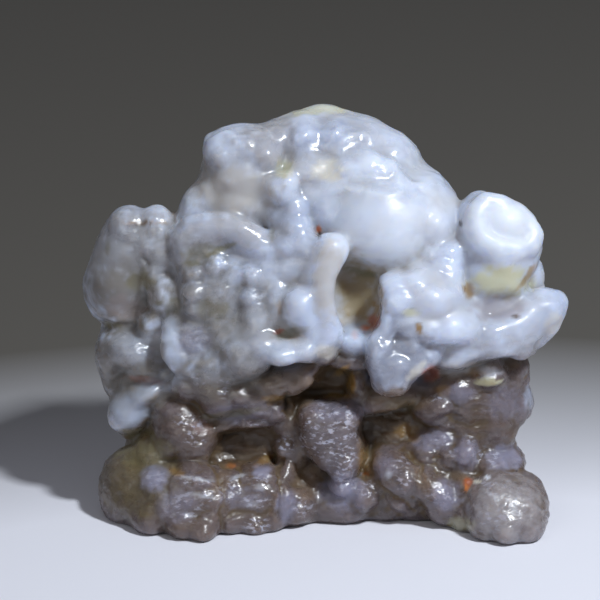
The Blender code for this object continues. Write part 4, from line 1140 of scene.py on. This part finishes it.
def depth_scale(points):
    """Scale of the space that the skin is remeshed in: whole at the front, smaller to the rear.

    Only across and up are scaled, so the way back is to divide by the same scale.
    """
    share = np.interp(points[:, 1], (WARP_STARTS, WARP_ENDS), (FINE_FRONT, COARSE_REAR))
    return np.stack((share, np.ones_like(share), share), axis=1)


def plain_object(name, points, faces):
    """A mesh object from arrays."""
    mesh = bpy.data.meshes.new(name)
    mesh.from_pydata(points.tolist(), [], faces.tolist())
    item = bpy.data.objects.new(name, mesh)
    bpy.context.scene.collection.objects.link(item)
    return item


def apply_modifiers(item):
    """Keep what the object's modifiers make of its mesh."""
    graph = bpy.context.evaluated_depsgraph_get()
    item.data = bpy.data.meshes.new_from_object(item.evaluated_get(graph))
    item.modifiers.clear()


def grow_together(item, voxel):
    """Voxel remesh that turns overlapping shapes into one closed skin."""
    grow = item.modifiers.new("grow_together", "REMESH")
    grow.mode = "VOXEL"
    grow.voxel_size = voxel
    apply_modifiers(item)


def grown_object(name, points, faces, voxel):
    """One closed skin round all the shapes."""
    item = plain_object(name, points * depth_scale(points), faces)
    grow_together(item, voxel)
    return item


def rough_skin(solid, pits, voxel):
    """One closed skin of all lumps, cut flat at the ground, with the hollows taken out."""
    points, faces = ball_skins(solid)
    points[:, 2] = np.maximum(points[:, 2], 0.0)
    stone = grown_object(PIECE, points, faces, voxel)
    hollows = grown_object("hollows", *ball_skins(pits), voxel)
    cut = stone.modifiers.new("hollows", "BOOLEAN")
    cut.operation = "DIFFERENCE"
    cut.object = hollows
    apply_modifiers(stone)
    bpy.data.objects.remove(hollows)
    grow_together(stone, voxel)
    return stone


def smooth_sum(points, shapes, softness):
    """Smooth union of all shapes and its slope: -softness ln(sum of exp(-distance / softness)).

    The points are sorted across, and each shape is worked out only near its own box.
    """
    order = np.argsort(points[:, 0])
    points, softness = points[order], softness[order]
    total = np.zeros(len(points))
    slope = np.zeros((len(points), 3))
    margin = softness.max() * JOIN_REACH
    for shape in shapes:
        low, high = shape.low - margin, shape.high + margin
        first, last = np.searchsorted(points[:, 0], (low[0], high[0]))
        part = points[first:last, 1:]
        near = first + np.flatnonzero(np.all((part > low[1:]) & (part < high[1:]), axis=1))
        distance, way = shape.distance(points[near])
        weight = np.exp(np.clip(-distance / softness[near], -MOST_POWER, MOST_POWER))
        total[near] += weight
        slope[near] += weight[:, None] * way
    total = np.maximum(total, LEAST_SUM)
    back = np.argsort(order)
    return (-softness * np.log(total))[back], (slope / total[:, None])[back]


def carve(value, slope, other, other_slope, softness):
    """Smooth intersection of two distances, and its slope: s ln(exp(a / s) + exp(b / s))."""
    most = np.maximum(value, other)
    own, others = np.exp((value - most) / softness), np.exp((other - most) / softness)
    both = own + others
    way = (own[:, None] * slope + others[:, None] * other_slope) / both[:, None]
    return most + softness * np.log(both), way


def stone_distance(points, solid, pits):
    """Distance to the stone's smooth skin, less its hollows and cut at the ground, and its slope."""
    cap = part_way(points[:, 2], *CAP_HEIGHTS)
    rear = part_way(points[:, 1], *REAR_DEPTHS)
    softness = JOIN - CAP_LESS * cap + (REAR_MORE - REAR_CAP_LESS * cap) * rear
    value, slope = smooth_sum(points, solid, softness)
    value += softness * JOIN_THINS
    hollow, hollow_slope = smooth_sum(points, pits, np.full(len(points), PIT_JOIN))
    value, slope = carve(value, slope, -hollow, -hollow_slope, PIT_JOIN)
    ground = np.broadcast_to((0.0, 0.0, -1.0), points.shape)
    return carve(value, slope, -points[:, 2], ground, FLOOR_JOIN)


class Skin:
    """The stone's points and edges, with the sums that run over neighbours."""

    def __init__(self, mesh):
        places = np.empty(len(mesh.vertices) * 3)
        mesh.vertices.foreach_get("co", places)
        places = places.reshape(-1, 3)
        self.points = places / depth_scale(places)
        ends = np.empty(len(mesh.edges) * 2, int)
        mesh.edges.foreach_get("vertices", ends)
        self.ends = ends.reshape(-1, 2).T
        self.neighbours = np.bincount(ends, minlength=len(places))

    def mean(self, values):
        """Mean of each point's neighbours, for one value or for places."""
        if values.ndim > 1:
            return np.stack([self.mean(column) for column in values.T], axis=1)
        first, last = self.ends
        sums = np.bincount(first, values[last], len(values)) + np.bincount(last, values[first], len(values))
        return sums / self.neighbours

    def relax(self, values, rounds):
        """Values drawn a share of the way to their neighbours' mean, some rounds."""
        for _ in range(rounds):
            values = values * (1 - EVEN_SHARE) + self.mean(values) * EVEN_SHARE
        return values

    def settled(self, shape):
        """Points drawn onto the smooth stone, and evened out on the way.

        A round moves each point by distance / slope^2 against the slope, at most LONGEST_STEP.
        """
        points = self.points
        for step in range(FIRST_ROUNDS + LAST_ROUNDS):
            value, slope = stone_distance(points, *shape)
            steep = np.maximum((slope * slope).sum(axis=1), LEAST_STEEP)
            points = points - (np.clip(value, -LONGEST_STEP, LONGEST_STEP) / steep)[:, None] * slope
            if step % 2 and step < FIRST_ROUNDS:
                points = self.relax(points, EVEN_ROUNDS)
        return points


def skin_normals(points, shape):
    """Outward direction of the smooth stone at each point."""
    slope = stone_distance(points, *shape)[1]
    return slope / (np.linalg.norm(slope, axis=1) + TINY)[:, None]


def shut_in(points, normals, shape):
    """How far the stone closes round each point: nothing in the open, one in a deep hollow.

    It is the mean of 1 - distance / far, held from 0 to 1, some distances far out from the skin.
    """
    closed = np.zeros(len(points))
    for far in SHUT_DEPTHS:
        value, _ = stone_distance(points + normals * far, *shape)
        closed += np.clip(1 - value / far, 0, 1) / len(SHUT_DEPTHS)
    return closed


def cell_numbers(points, size):
    """A whole number for each point's lattice cell, and the point's place in the cell."""
    scaled = points / size
    cell = np.floor(scaled)
    return cell.astype(np.int64) @ CELL_MIX, scaled - cell


def scramble(numbers, seed):
    """Even random numbers from 0 to 1, one for each whole number and seed."""
    mixed = (numbers + seed * SEED_STEP).astype(np.uint32)
    for shift, factor in SCRAMBLES:
        mixed = (mixed ^ (mixed >> np.uint32(shift))) * np.uint32(factor)
    return (mixed ^ (mixed >> np.uint32(LAST_SHIFT))) / 2.0**32


def waves(points, size, seed):
    """Smooth random waves from about -1 to 1.

    Each lattice corner has a random slope; the heights that the eight slopes give at the point
    are mixed by the fade 6t^5 - 15t^4 + 10t^3 along each axis.
    """
    cell, inner = cell_numbers(points, size)
    fade = inner**3 * (inner * (inner * 6 - 15) + 10)
    total = np.zeros(len(points))
    for corner in np.ndindex(2, 2, 2):
        there, part = cell + CELL_MIX @ corner, inner - corner
        height = sum((scramble(there, seed + axis) * 2 - 1) * part[:, axis] for axis in range(3))
        share = np.prod([fade[:, axis] if corner[axis] else 1 - fade[:, axis] for axis in range(3)], axis=0)
        total += height * share
    return total * WAVE_GAIN


def knobs(points, size, seed):
    """Random round knobs with creases between them, from 0 to 1.

    One less the square of the distance d to the nearest of the cells' random middles, with a
    smooth least: -s ln(sum of exp(-d^2 / s)), where s is KNOB_SOFTNESS.
    """
    cell, inner = cell_numbers(points, size)
    total = np.full(len(points), LEAST_KNOB)
    for corner in np.ndindex(3, 3, 3):
        step = np.array(corner) - 1
        there = cell + CELL_MIX @ step
        gap = 0.0
        for axis in range(3):
            middle = scramble(there, seed + axis) * MIDDLE_SPREAD + MIDDLE_MARGIN + step[axis]
            gap += (middle - inner[:, axis]) ** 2
        total += np.exp(-gap / KNOB_SOFTNESS)
    return np.clip(1 + KNOB_SOFTNESS * np.log(total), 0, 1)


def layers(pattern, points, rows):
    """Sum of a pattern at several sizes, each with its seed and its share."""
    return sum(pattern(points, size, seed) * share for size, seed, share in rows)


def shifts(points, far, size, seeds):
    """Random shifts of about some length, with a wave for each axis."""
    return far * np.stack([waves(points, size, seed) for seed in seeds], axis=1)


def front_facing(normals):
    """One where the skin faces the front view, falling to nothing where it turns away."""
    eye = np.array((0.0, -math.cos(VIEW_TILT), math.sin(VIEW_TILT)))
    return np.clip(normals @ eye * FACING_STEEP + FACING_EDGE, 0, 1)


def oval_reach(across, up, middle, height, wide, tall, lean=0.0):
    """Square of the distance from an oval's middle, one at its edge. It leans right end down."""
    c, s = math.cos(math.radians(lean)), math.sin(math.radians(lean))
    x, y = across - middle, up - height
    return ((x * c - y * s) / wide) ** 2 + ((x * s + y * c) / tall) ** 2


def front_spots(points, normals, spots):
    """Sum of soft spots on the front: amount times (SPOT_EDGE - reach), held from 0 to 1."""
    across, up = points[:, 0], seen_up(points)
    total = np.zeros(len(points))
    for amount, *oval in spots:
        total += amount * np.clip(SPOT_EDGE - oval_reach(across, up, *oval), 0, 1)
    return np.clip(total, 0, 1) * front_facing(normals)


def stroke_relief(points, normals):
    """Height of the grooves and fine ridges: height exp(-(d / half width)^2) beside each line."""
    place = np.stack((points[:, 0], seen_up(points)), axis=1) + shifts(points, *STROKE_WOBBLE)
    height = np.zeros(len(points))
    for wide, tall, *line in STROKES:
        nearest = np.full(len(points), FAR_AWAY)
        for start, end in zip(np.array(line), np.array(line[1:])):
            along = end - start
            share = np.clip((place - start) @ along / (along @ along), 0, 1)
            nearest = np.minimum(nearest, np.linalg.norm(place - start - share[:, None] * along, axis=1))
        height += tall * np.exp(-((nearest / wide) ** 2))
    return height * front_facing(normals)


def milk_share(points):
    """One on the milky cap and nothing on the smoky lower half, with an uneven edge."""
    edge_across, edge_up = np.array(CAP_EDGE).T
    front = seen_up(points) - np.interp(points[:, 0], edge_across, edge_up)
    rear = points[:, 2] - EDGE_REAR_HEIGHT
    turn = part_way(points[:, 1], *EDGE_DEPTHS)
    wander = waves(points, *EDGE_WAVE) * (EDGE_WANDER + EDGE_WANDER_MORE * turn)
    edge = front * (1 - turn) + rear * turn + wander
    return np.clip(edge / (EDGE_WIDTH + EDGE_WIDTH_MORE * turn) + 0.5, 0, 1)


def relief(points, normals, sizes):
    """Height of the skin's relief in millimetres: undulations, knobs, shards and strokes."""
    milk = milk_share(points)
    rear = part_way(points[:, 1], *KNOB_DEPTHS)
    hackly = front_spots(points, normals, HACKLY)
    calm = front_spots(points, normals, CALM)
    bent = points + shifts(points, *PATTERN_BEND)
    height = sizes.waviness * layers(waves, bent * SWELL_STRETCH, SWELLS) * (1 - CALM_FLATTENS * calm)
    small = layers(knobs, bent, SMALL_KNOBS) - SMALL_MIDDLE
    height += sizes.knobs * small * (1 - milk) * (1 - HACKLE_FLATTENS * hackly)
    broad = knobs(bent, *BROAD_KNOBS) - BROAD_MIDDLE
    height += sizes.knobs * BROAD_TALLER * broad * rear * (1 - MILK_FLATTENS * milk)
    shards = 1 - np.abs(waves(bent @ SHARD_GRAIN, *SHARDS)) * 2
    broken = shards * SHARD_SHARE + waves(bent, *SPLINTERS) * SPLINTER_SHARE
    height += sizes.hackle * broken * np.maximum(hackly, FOOT_HACKLE * (1 - milk))
    return (height / MM + stroke_relief(points, normals)) * part_way(points[:, 2], 0.0, FLAT_FOOT)


def patch_colors(points, normals):
    """Colour and strength of the clouds and patches, each laid over those before it."""
    across, up = points[:, 0], seen_up(points)
    frayed = layers(waves, points, FRAYS)
    seen = front_facing(normals)
    paint = np.zeros((len(points), 4))

    def lay(color, share):
        """Lay a colour over the paint, by its share at each point."""
        paint[:] = paint * (1 - share[:, None]) + share[:, None] * np.array((*PALETTE[color], 1.0))

    for color, strength, size, seed in REAR_CLOUDS:
        cloud = waves(points, size, seed) * CLOUD_STEEP - CLOUD_LESS
        lay(color, strength * (1 - seen) * np.clip(cloud, 0, 1))
    for color, strength, *oval in PATCHES:
        inside = PATCH_EDGE - oval_reach(across, up, *oval) + frayed
        lay(color, strength * seen * np.clip(inside, 0, 1))
    paint[:, :3] /= np.maximum(paint[:, 3:], LEAST_PAINT)
    return paint


def make_stone(sizes):
    """The whole stone: grown, drawn onto the smooth sum of its lumps, roughened and coloured.

    It is moved until its box has the same middle as the solid's, and keeps the shift for the camera.
    """
    lumps = [front_lump(*row) for row in FRONT_LUMPS] + [rear_lump(*row) for row in REAR_LUMPS]
    pits = [front_lump(*row) for row in HOLLOWS] + [rear_lump(*row) for row in REAR_HOLLOWS]
    bars = ridge_bars()
    balls = [ball for bar in bars for ball in bar.balls()]
    stone = rough_skin(lumps + balls, pits, sizes.voxel / MM)
    skin, shape = Skin(stone.data), (lumps + bars, pits)
    points = skin.settled(shape)
    normals = skin_normals(points, shape)
    # How shut in each point is; the material paints shade where this is high
    closed = shut_in(points, normals, shape)
    points += normals * relief(points, normals, sizes)[:, None]
    points[:, 2] = np.maximum(points[:, 2], 0.0)
    sunk = ((skin.mean(points) - points) * normals).sum(axis=1)
    masks = (
        milk_share(points),
        np.clip(skin.relax(sunk, CREASE_ROUNDS) / CREASE_FULL, -1, 1),
        # How far the skin stands out, which the material turns into painted light and shade
        np.clip(-skin.relax(sunk, RAISED_ROUNDS) / RAISED_FULL, -1, 1),
        1 - front_spots(points, normals, CALM),
        front_spots(points, normals, HACKLY),
        closed,
    )
    for name, mask in zip(MASKS, masks):
        stone.data.attributes.new(name, "FLOAT", "POINT").data.foreach_set("value", mask.astype(np.float32))
    paint = stone.data.attributes.new("patches", "FLOAT_COLOR", "POINT")
    paint.data.foreach_set("color", patch_colors(points, normals).astype(np.float32).ravel())
    middle = (points.min(axis=0) + points.max(axis=0)) / 2
    shift = np.array(((CAD_LOW + CAD_HIGH) / 2)[:2]) / MM - middle[:2]
    points[:, :2] += shift
    stone.data.vertices.foreach_set("co", (points * MM).ravel())
    stone.data.update()
    stone.data.shade_smooth()
    stone["shift"] = list(shift * MM)
    return stone


class Nodes:
    """Short ways to add nodes to one node tree."""

    def __init__(self, tree):
        self.tree = tree

    def feed(self, socket, value):
        """Give a socket a link or a value."""
        if isinstance(value, bpy.types.NodeSocket):
            self.tree.links.new(value, socket)
        else:
            socket.default_value = value

    def add(self, kind, inputs=(), **settings):
        """Outputs of a new node with these inputs and settings."""
        made = self.tree.nodes.new(kind)
        for name, value in settings.items():
            setattr(made, name, value)
        for socket, value in dict(inputs).items():
            self.feed(made.inputs[socket], value)
        return made.outputs

    def use(self, group, place, **numbers):
        """The one value that a node group puts out at a place."""
        inputs = {name.replace("_", " ").title(): value for name, value in numbers.items()}
        return self.add("ShaderNodeGroup", {"Place": place, **inputs}, node_tree=group)[0]

    def reckon(self, operation, first, second, clamp=False):
        """Result of one operation on two values."""
        return self.add("ShaderNodeMath", {0: first, 1: second}, operation=operation, use_clamp=clamp)[0]

    def times(self, first, second):
        """One value times another."""
        return self.reckon("MULTIPLY", first, second)

    def plus(self, *values, clamp=False):
        """Sum of all values, held from 0 to 1 with clamp."""
        total = values[0]
        for value in values[1:]:
            total = self.reckon("ADD", total, value, clamp)
        return total

    def mix(self, share, under, over):
        """Value part of the way from one to another."""
        return self.add("ShaderNodeMix", {0: share, 2: under, 3: over}, data_type="FLOAT")[0]

    def lay(self, share, under, over):
        """One colour laid over another."""
        return self.add("ShaderNodeMix", {0: share, 6: under, 7: over}, data_type="RGBA")[2]

    def spread(self, value, low, high, start=0.0, end=1.0):
        """Value spread from low..high to start..end, held at both ends."""
        return self.add("ShaderNodeMapRange", {0: value, 1: low, 2: high, 3: start, 4: end}, clamp=True)[0]

    def between(self, value, start, end):
        """Value from 0..1 spread to start..end."""
        return self.spread(value, 0.0, 1.0, start, end)


def new_group(name, numbers, result):
    """Nodes of a new group that takes a place and numbers, its inputs, and its one output."""
    group = bpy.data.node_groups.new(name, "ShaderNodeTree")
    group.interface.new_socket("Place", in_out="INPUT", socket_type="NodeSocketVector")
    for label, value in numbers.items():
        socket = group.interface.new_socket(label, in_out="INPUT", socket_type="NodeSocketFloat")
        socket.default_value = value
    group.interface.new_socket(result, in_out="OUTPUT", socket_type="NodeSocketFloat")
    given = group.nodes.new("NodeGroupInput").outputs
    return Nodes(group), given, group.nodes.new("NodeGroupOutput").inputs[result]


def clouds_group():
    """Soft random clouds: noise of some size, spread between a low and a high mark."""
    numbers = {"Per Metre": 200.0, "Low": 0.4, "High": 0.6, "Detail": 3.0}
    nodes, given, out = new_group("clouds", numbers, "Mask")
    inputs = {"Vector": given["Place"], "Scale": given["Per Metre"], "Detail": given["Detail"]}
    noise = nodes.add("ShaderNodeTexNoise", inputs)[0]
    nodes.feed(out, nodes.spread(noise, given["Low"], given["High"]))
    return nodes.tree


def pores_group():
    """Tiny pits and grains: the nearest random middle of a broken lattice, bent by noise."""
    nodes, given, out = new_group("pores", {"Per Metre": 1500.0, "Bend": 0.0004}, "Height")
    noise = nodes.add("ShaderNodeTexNoise", {"Vector": given["Place"], "Scale": 900.0, "Detail": 2.0})[1]
    off = nodes.add("ShaderNodeVectorMath", {0: noise, 1: (0.5, 0.5, 0.5)}, operation="SUBTRACT")[0]
    far = nodes.add("ShaderNodeVectorMath", {0: off, 3: given["Bend"]}, operation="SCALE")[0]
    bent = nodes.add("ShaderNodeVectorMath", {0: given["Place"], 1: far}, operation="ADD")[0]
    inputs = {"Vector": bent, "Scale": given["Per Metre"], "Smoothness": 0.35}
    cells = nodes.add("ShaderNodeTexVoronoi", inputs, feature="SMOOTH_F1")[0]
    nodes.feed(out, nodes.spread(cells, low=0.0, high=0.7, start=1.0, end=0.0))
    return nodes.tree


def new_material(name):
    """A new material, its shader's inputs and its nodes."""
    material = bpy.data.materials.new(name)
    material.use_nodes = True
    return material, material.node_tree.nodes["Principled BSDF"].inputs, Nodes(material.node_tree)


def tones_with_relief_light(nodes, masks, colors, broad, drifts):
    """Milk over the cap and smoke over the foot, both painted paler and cooler where the skin stands out
    and warmer and darker where it sinks: painted light and shade, mixed half and half with random clouds.
    """
    painted_relief_light = nodes.spread(masks["raised"], low=-0.8, high=0.9)
    # Palest wisps only where the skin stands out, as painted light
    wisps = nodes.times(painted_relief_light, drifts)
    milk = nodes.lay(nodes.mix(0.5, painted_relief_light, broad), colors["milk_warm"], colors["milk_blue"])
    milk = nodes.lay(wisps, milk, colors["milk_white"])
    smoke = nodes.lay(nodes.mix(0.5, painted_relief_light, drifts), colors["smoke_brown"], colors["smoke_grey"])
    smoke = nodes.lay(wisps, smoke, colors["smoke_pale"])
    return nodes.lay(masks["milk"], smoke, milk)


def stone_material(colors, clouds, pores):
    """Chalcedony: milky cap, smoky foot, stained creases, painted shade deep in the hollows, waxy gloss and
    fine relief.
    """
    material, surface, nodes = new_material(SLOT)
    place = nodes.add("ShaderNodeTexCoord")["Object"]
    masks = {name: nodes.add("ShaderNodeAttribute", attribute_name=name)["Fac"] for name in MASKS}
    patches = nodes.add("ShaderNodeAttribute", attribute_name="patches")
    turned = {"Vector": place, "Rotation": STREAK_TURN, "Scale": STREAK_STRETCH}
    slanted = nodes.add("ShaderNodeMapping", turned)[0]
    flat = nodes.add("ShaderNodeVectorMath", {0: place, 1: RIPPLE_STRETCH}, operation="MULTIPLY")[0]

    def by_part(foot, cap):
        """One number on the smoky foot and another on the milky cap."""
        return nodes.between(masks["milk"], foot, cap)

    def by_skin(calm, lively):
        """One number where the skin is calm and another where it is lively."""
        return nodes.between(masks["lively"], calm, lively)

    # Random marks, from broad clouds down to flecks
    broad = nodes.use(clouds, place, per_metre=110.0, low=0.36, high=0.64, detail=2.0)
    drifts = nodes.use(clouds, place, per_metre=200.0, low=0.25, high=0.75, detail=1.0)
    fine = nodes.use(clouds, place, per_metre=520.0, low=0.38, high=0.66, detail=4.0)
    ripple = nodes.use(clouds, flat, per_metre=620.0, low=0.25, high=0.75, detail=1.0)
    sparkle = nodes.use(clouds, slanted, per_metre=950.0, low=0.3, high=0.7)
    streaks = nodes.use(clouds, slanted, per_metre=1500.0, low=0.53, high=0.64)
    grain = nodes.use(pores, place, per_metre=1700.0, bend=0.0005)
    flecks = nodes.use(clouds, place, per_metre=2300.0, low=0.66, high=0.74)

    # Colour: stains in creases, painted shade deep in the hollows, then the patches, some of which paint
    # shade and some light, then frost on the broken places
    # Share of stain in the creases and of painted shade in the hollows: much on the foot, little on the cap
    stain_and_shade_share = by_part(foot=0.7, cap=0.12)
    dirt = nodes.spread(masks["crease"], low=0.05, high=0.7)
    dirt = nodes.times(nodes.times(dirt, nodes.between(broad, start=0.35, end=1.0)), stain_and_shade_share)
    base = nodes.lay(dirt, tones_with_relief_light(nodes, masks, colors, broad, drifts), colors["ochre"])
    # Painted shade: the hollows' colour laid where the stone closes round the skin
    deep = nodes.times(nodes.spread(masks["closed"], low=0.6, high=1.0), stain_and_shade_share)
    base = nodes.lay(deep, base, colors["recess"])
    base = nodes.lay(nodes.times(flecks, by_part(foot=0.22, cap=0.04)), base, colors["ochre"])
    base = nodes.lay(patches["Alpha"], base, patches["Color"])
    frost = nodes.times(nodes.between(streaks, start=0.05, end=0.8), masks["hackly"])
    frost = nodes.times(frost, by_part(foot=1.0, cap=0.15))
    nodes.feed(surface["Base Color"], nodes.lay(frost, base, colors["streak"]))

    # Gloss: waxy, dull on calm places and in dirt, with a thin wet coat on the cap
    dull = nodes.plus(
        nodes.between(fine, start=0.18, end=0.3),
        by_part(foot=0.05, cap=0.0),
        by_skin(calm=0.34, lively=0.0),
        nodes.times(dirt, 0.35),
        nodes.times(patches["Alpha"], 0.05),
        clamp=True,
    )
    nodes.feed(surface["Roughness"], dull)
    nodes.feed(surface["Coat Weight"], nodes.times(by_part(foot=0.1, cap=0.28), masks["lively"]))
    surface["Coat Roughness"].default_value = 0.04
    surface["IOR"].default_value = 1.54

    # Fine relief: pores, soft ripples, and crisp facets on the foot and on broken places
    crisp = nodes.reckon("MAXIMUM", masks["hackly"], by_part(foot=0.4, cap=0.0))
    height = nodes.plus(
        nodes.times(ripple, by_skin(calm=0.06, lively=0.5)),
        nodes.times(sparkle, nodes.times(crisp, 0.9)),
        nodes.times(grain, by_part(foot=0.15, cap=0.02)),
    )
    bump = nodes.add("ShaderNodeBump", {"Strength": 1.0, "Distance": 0.00016, "Height": height})
    nodes.feed(surface["Normal"], bump[0])

    # Light that sinks in and spreads
    surface["Subsurface Weight"].default_value = 1.0
    surface["Subsurface Radius"].default_value = (1.0, 0.8, 0.62)
    surface["Subsurface Scale"].default_value = 0.006
    return material


def floor_material(stage):
    """Dull floor with a painted pool of light: pale round the stone and darkening away from it."""
    material, surface, nodes = new_material("floor_with_painted_light_pool")
    place = nodes.add("ShaderNodeTexCoord")["Object"]
    # Painted pool of light: the floor is pale near its middle and darkens with distance
    away = nodes.add("ShaderNodeVectorMath", {0: place, 1: LIGHT_POOL_MIDDLE}, operation="DISTANCE")["Value"]
    far = nodes.spread(away, stage.light_pool_fade * LIGHT_POOL_SHARE, stage.light_pool_fade)
    color = nodes.lay(far, (*stage.floor_near, 1.0), (*stage.floor_far, 1.0))
    nodes.feed(surface["Base Color"], color)
    surface["Roughness"].default_value = 0.9
    return material


def add_lamp(name, place, size, power, color):
    """A soft square lamp that looks at the stone."""
    light = bpy.data.lights.new(name, "AREA")
    light.size = size
    light.energy = power
    light.color = color
    lamp = bpy.data.objects.new(name, light)
    lamp.location = place
    lamp.rotation_euler = (LAMP_AIM - place).to_track_quat("-Z", "Y").to_euler()
    bpy.context.scene.collection.objects.link(lamp)


def add_camera(distance, shift):
    """Camera at the picture's angle, aimed so that the stone sits in the frame as it does there."""
    ahead = Vector((0.0, math.cos(VIEW_TILT), -math.sin(VIEW_TILT)))
    middle_up = (FRAME_MIDDLE[1] - FRONT_FOOT_RISE) / math.cos(VIEW_TILT)
    aim = Vector((FRAME_MIDDLE[0], 0.0, middle_up)) * MM + Vector((shift[0], shift[1], 0.0))
    data = bpy.data.cameras.new("camera")
    data.sensor_width = SENSOR_WIDTH
    data.lens = SENSOR_WIDTH * distance / (FRAME_WIDTH * MM)
    data.clip_start, data.clip_end = CAMERA_SEES
    camera = bpy.data.objects.new("camera", data)
    camera.location = aim - ahead * distance
    camera.rotation_euler = ahead.to_track_quat("-Z", "Y").to_euler()
    bpy.context.scene.collection.objects.link(camera)
    bpy.context.scene.camera = camera


def length(name, description, default):
    """A length that the panel shows."""
    return FloatProperty(name=name, description=description, default=default, unit="LENGTH", precision=5)


def power(name, description, default):
    """A lamp's power that the panel shows."""
    return FloatProperty(name=name, description=description, default=default, unit="POWER")


def tint(name, description, default):
    """A colour that the panel shows."""
    return FloatVectorProperty(name=name, description=description, default=default, subtype="COLOR")


class StoneSizes(bpy.types.PropertyGroup):
    """Sizes of the stone's skin."""

    voxel: length("Face size", "Edge of the skin's front faces", 0.00044)
    waviness: length("Waviness", "Height of the soft undulations", 0.0003)
    knobs: length("Knobs", "Height of the lower half's knobs", 0.0006)
    hackle: length("Hackle", "Height of the glassy, broken ridges", 0.00034)


class StoneColors(bpy.types.PropertyGroup):
    """Colours of the stone."""

    # The warm and brown colours go where the skin sinks and the blue, grey, white and pale ones where it
    # stands out, so besides the stone's own tones they carry painted shade and painted light
    milk_blue: tint("Blue milk", "Cool parts of the cap", (0.48, 0.56, 0.75))
    milk_warm: tint("Warm milk", "Warm parts of the cap", (0.53, 0.50, 0.47))
    milk_white: tint("White milk", "Palest wisps of the cap", (0.66, 0.73, 0.89))
    smoke_grey: tint("Grey smoke", "Cool parts of the foot", (0.118, 0.094, 0.092))
    smoke_brown: tint("Brown smoke", "Warm parts of the foot", (0.11, 0.068, 0.036))
    streak: tint("Streaks", "Broken, whitish streaks of the foot", (0.52, 0.52, 0.62))
    smoke_pale: tint("Pale smoke", "Palest wisps of the foot", (0.165, 0.138, 0.152))
    ochre: tint("Ochre", "Stain in the creases", (0.16, 0.10, 0.035))
    # Painted shade, laid deep in the hollows where the stone closes round the skin
    recess: tint("Hollows", "Colour deep in the hollows", (0.2, 0.14, 0.08))


class StageSettings(bpy.types.PropertyGroup):
    """Floor, lamps and camera."""

    # Colours inside and outside the floor's painted pool of light
    floor_near: tint("Floor", "Floor round the stone", (0.79, 0.795, 0.87))
    floor_far: tint("Far floor", "Floor away from the stone", (0.108, 0.1, 0.088))
    light_pool_fade: length("Fade", "Distance at which the floor has darkened", 0.175)
    key_power: power("Key lamp", "Power of the main lamp", 2.05)
    fill_power: power("Fill lamp", "Power of the broad lamp on the left", 0.5)
    camera_distance: length("Camera distance", "From the eye to the stone", 0.9)


class GOBI_OT_stone(bpy.types.Operator):
    """Build the stone with its relief, colours and material"""

    bl_idname = "gobi_agate.make_stone"
    bl_label = "Make Stone"

    def execute(self, context):
        settings = context.scene.gobi_colors
        colors = {name: (*getattr(settings, name), 1.0) for name in StoneColors.__annotations__}
        stone = make_stone(context.scene.gobi_sizes)
        stone.data.materials.append(stone_material(colors, clouds_group(), pores_group()))
        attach(stone, "root")
        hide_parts(NODE)
        return {"FINISHED"}


class GOBI_OT_stage(bpy.types.Operator):
    """Build the floor with its painted pool of light, the lamps, the dim surroundings and the camera"""

    bl_idname = "gobi_agate.make_stage"
    bl_label = "Make Stage"

    def execute(self, context):
        stage = context.scene.gobi_stage
        corners = np.array(((-1, -1, 0), (1, -1, 0), (1, 1, 0), (-1, 1, 0))) * FLOOR_HALF
        floor = plain_object("floor", corners, np.array(((0, 1, 2, 3),)))
        floor.data.materials.append(floor_material(stage))
        add_lamp("key", KEY_PLACE, KEY_SIZE, stage.key_power, KEY_COLOR)
        add_lamp("fill", FILL_PLACE, FILL_SIZE, stage.fill_power, FILL_COLOR)
        world = bpy.data.worlds.new("surroundings")
        world.use_nodes = True
        world.node_tree.nodes["Background"].inputs[0].default_value = SURROUNDINGS
        context.scene.world = world
        context.scene.view_settings.view_transform = "Standard"
        add_camera(stage.camera_distance, bpy.data.objects[PIECE]["shift"])
        return {"FINISHED"}


class GOBI_PT_panel(bpy.types.Panel):
    """Everything that builds the stone and its stage"""

    bl_label = "Gobi Agate"
    bl_idname = "GOBI_PT_panel"
    bl_space_type = "VIEW_3D"
    bl_region_type = "UI"
    bl_category = "Gobi Agate"

    def draw(self, context):
        scene = context.scene
        shown = ((GOBI_OT_stone, scene.gobi_sizes, scene.gobi_colors), (GOBI_OT_stage, scene.gobi_stage))
        for operator, *groups in shown:
            box = self.layout.box()
            for settings in groups:
                for name in type(settings).__annotations__:
                    box.prop(settings, name)
            box.operator(operator.bl_idname)


SETTINGS = {"gobi_sizes": StoneSizes, "gobi_colors": StoneColors, "gobi_stage": StageSettings}
CLASSES = (*SETTINGS.values(), GOBI_OT_stone, GOBI_OT_stage, GOBI_PT_panel)


def register():
    for item in CLASSES:
        bpy.utils.register_class(item)
    for name, group in SETTINGS.items():
        setattr(bpy.types.Scene, name, PointerProperty(type=group))


def unregister():
    for name in SETTINGS:
        delattr(bpy.types.Scene, name)
    for item in reversed(CLASSES):
        bpy.utils.unregister_class(item)


def main():
    register()
    bpy.ops.gobi_agate.make_stone()
    bpy.ops.gobi_agate.make_stage()


if __name__ == "__main__":
    main()
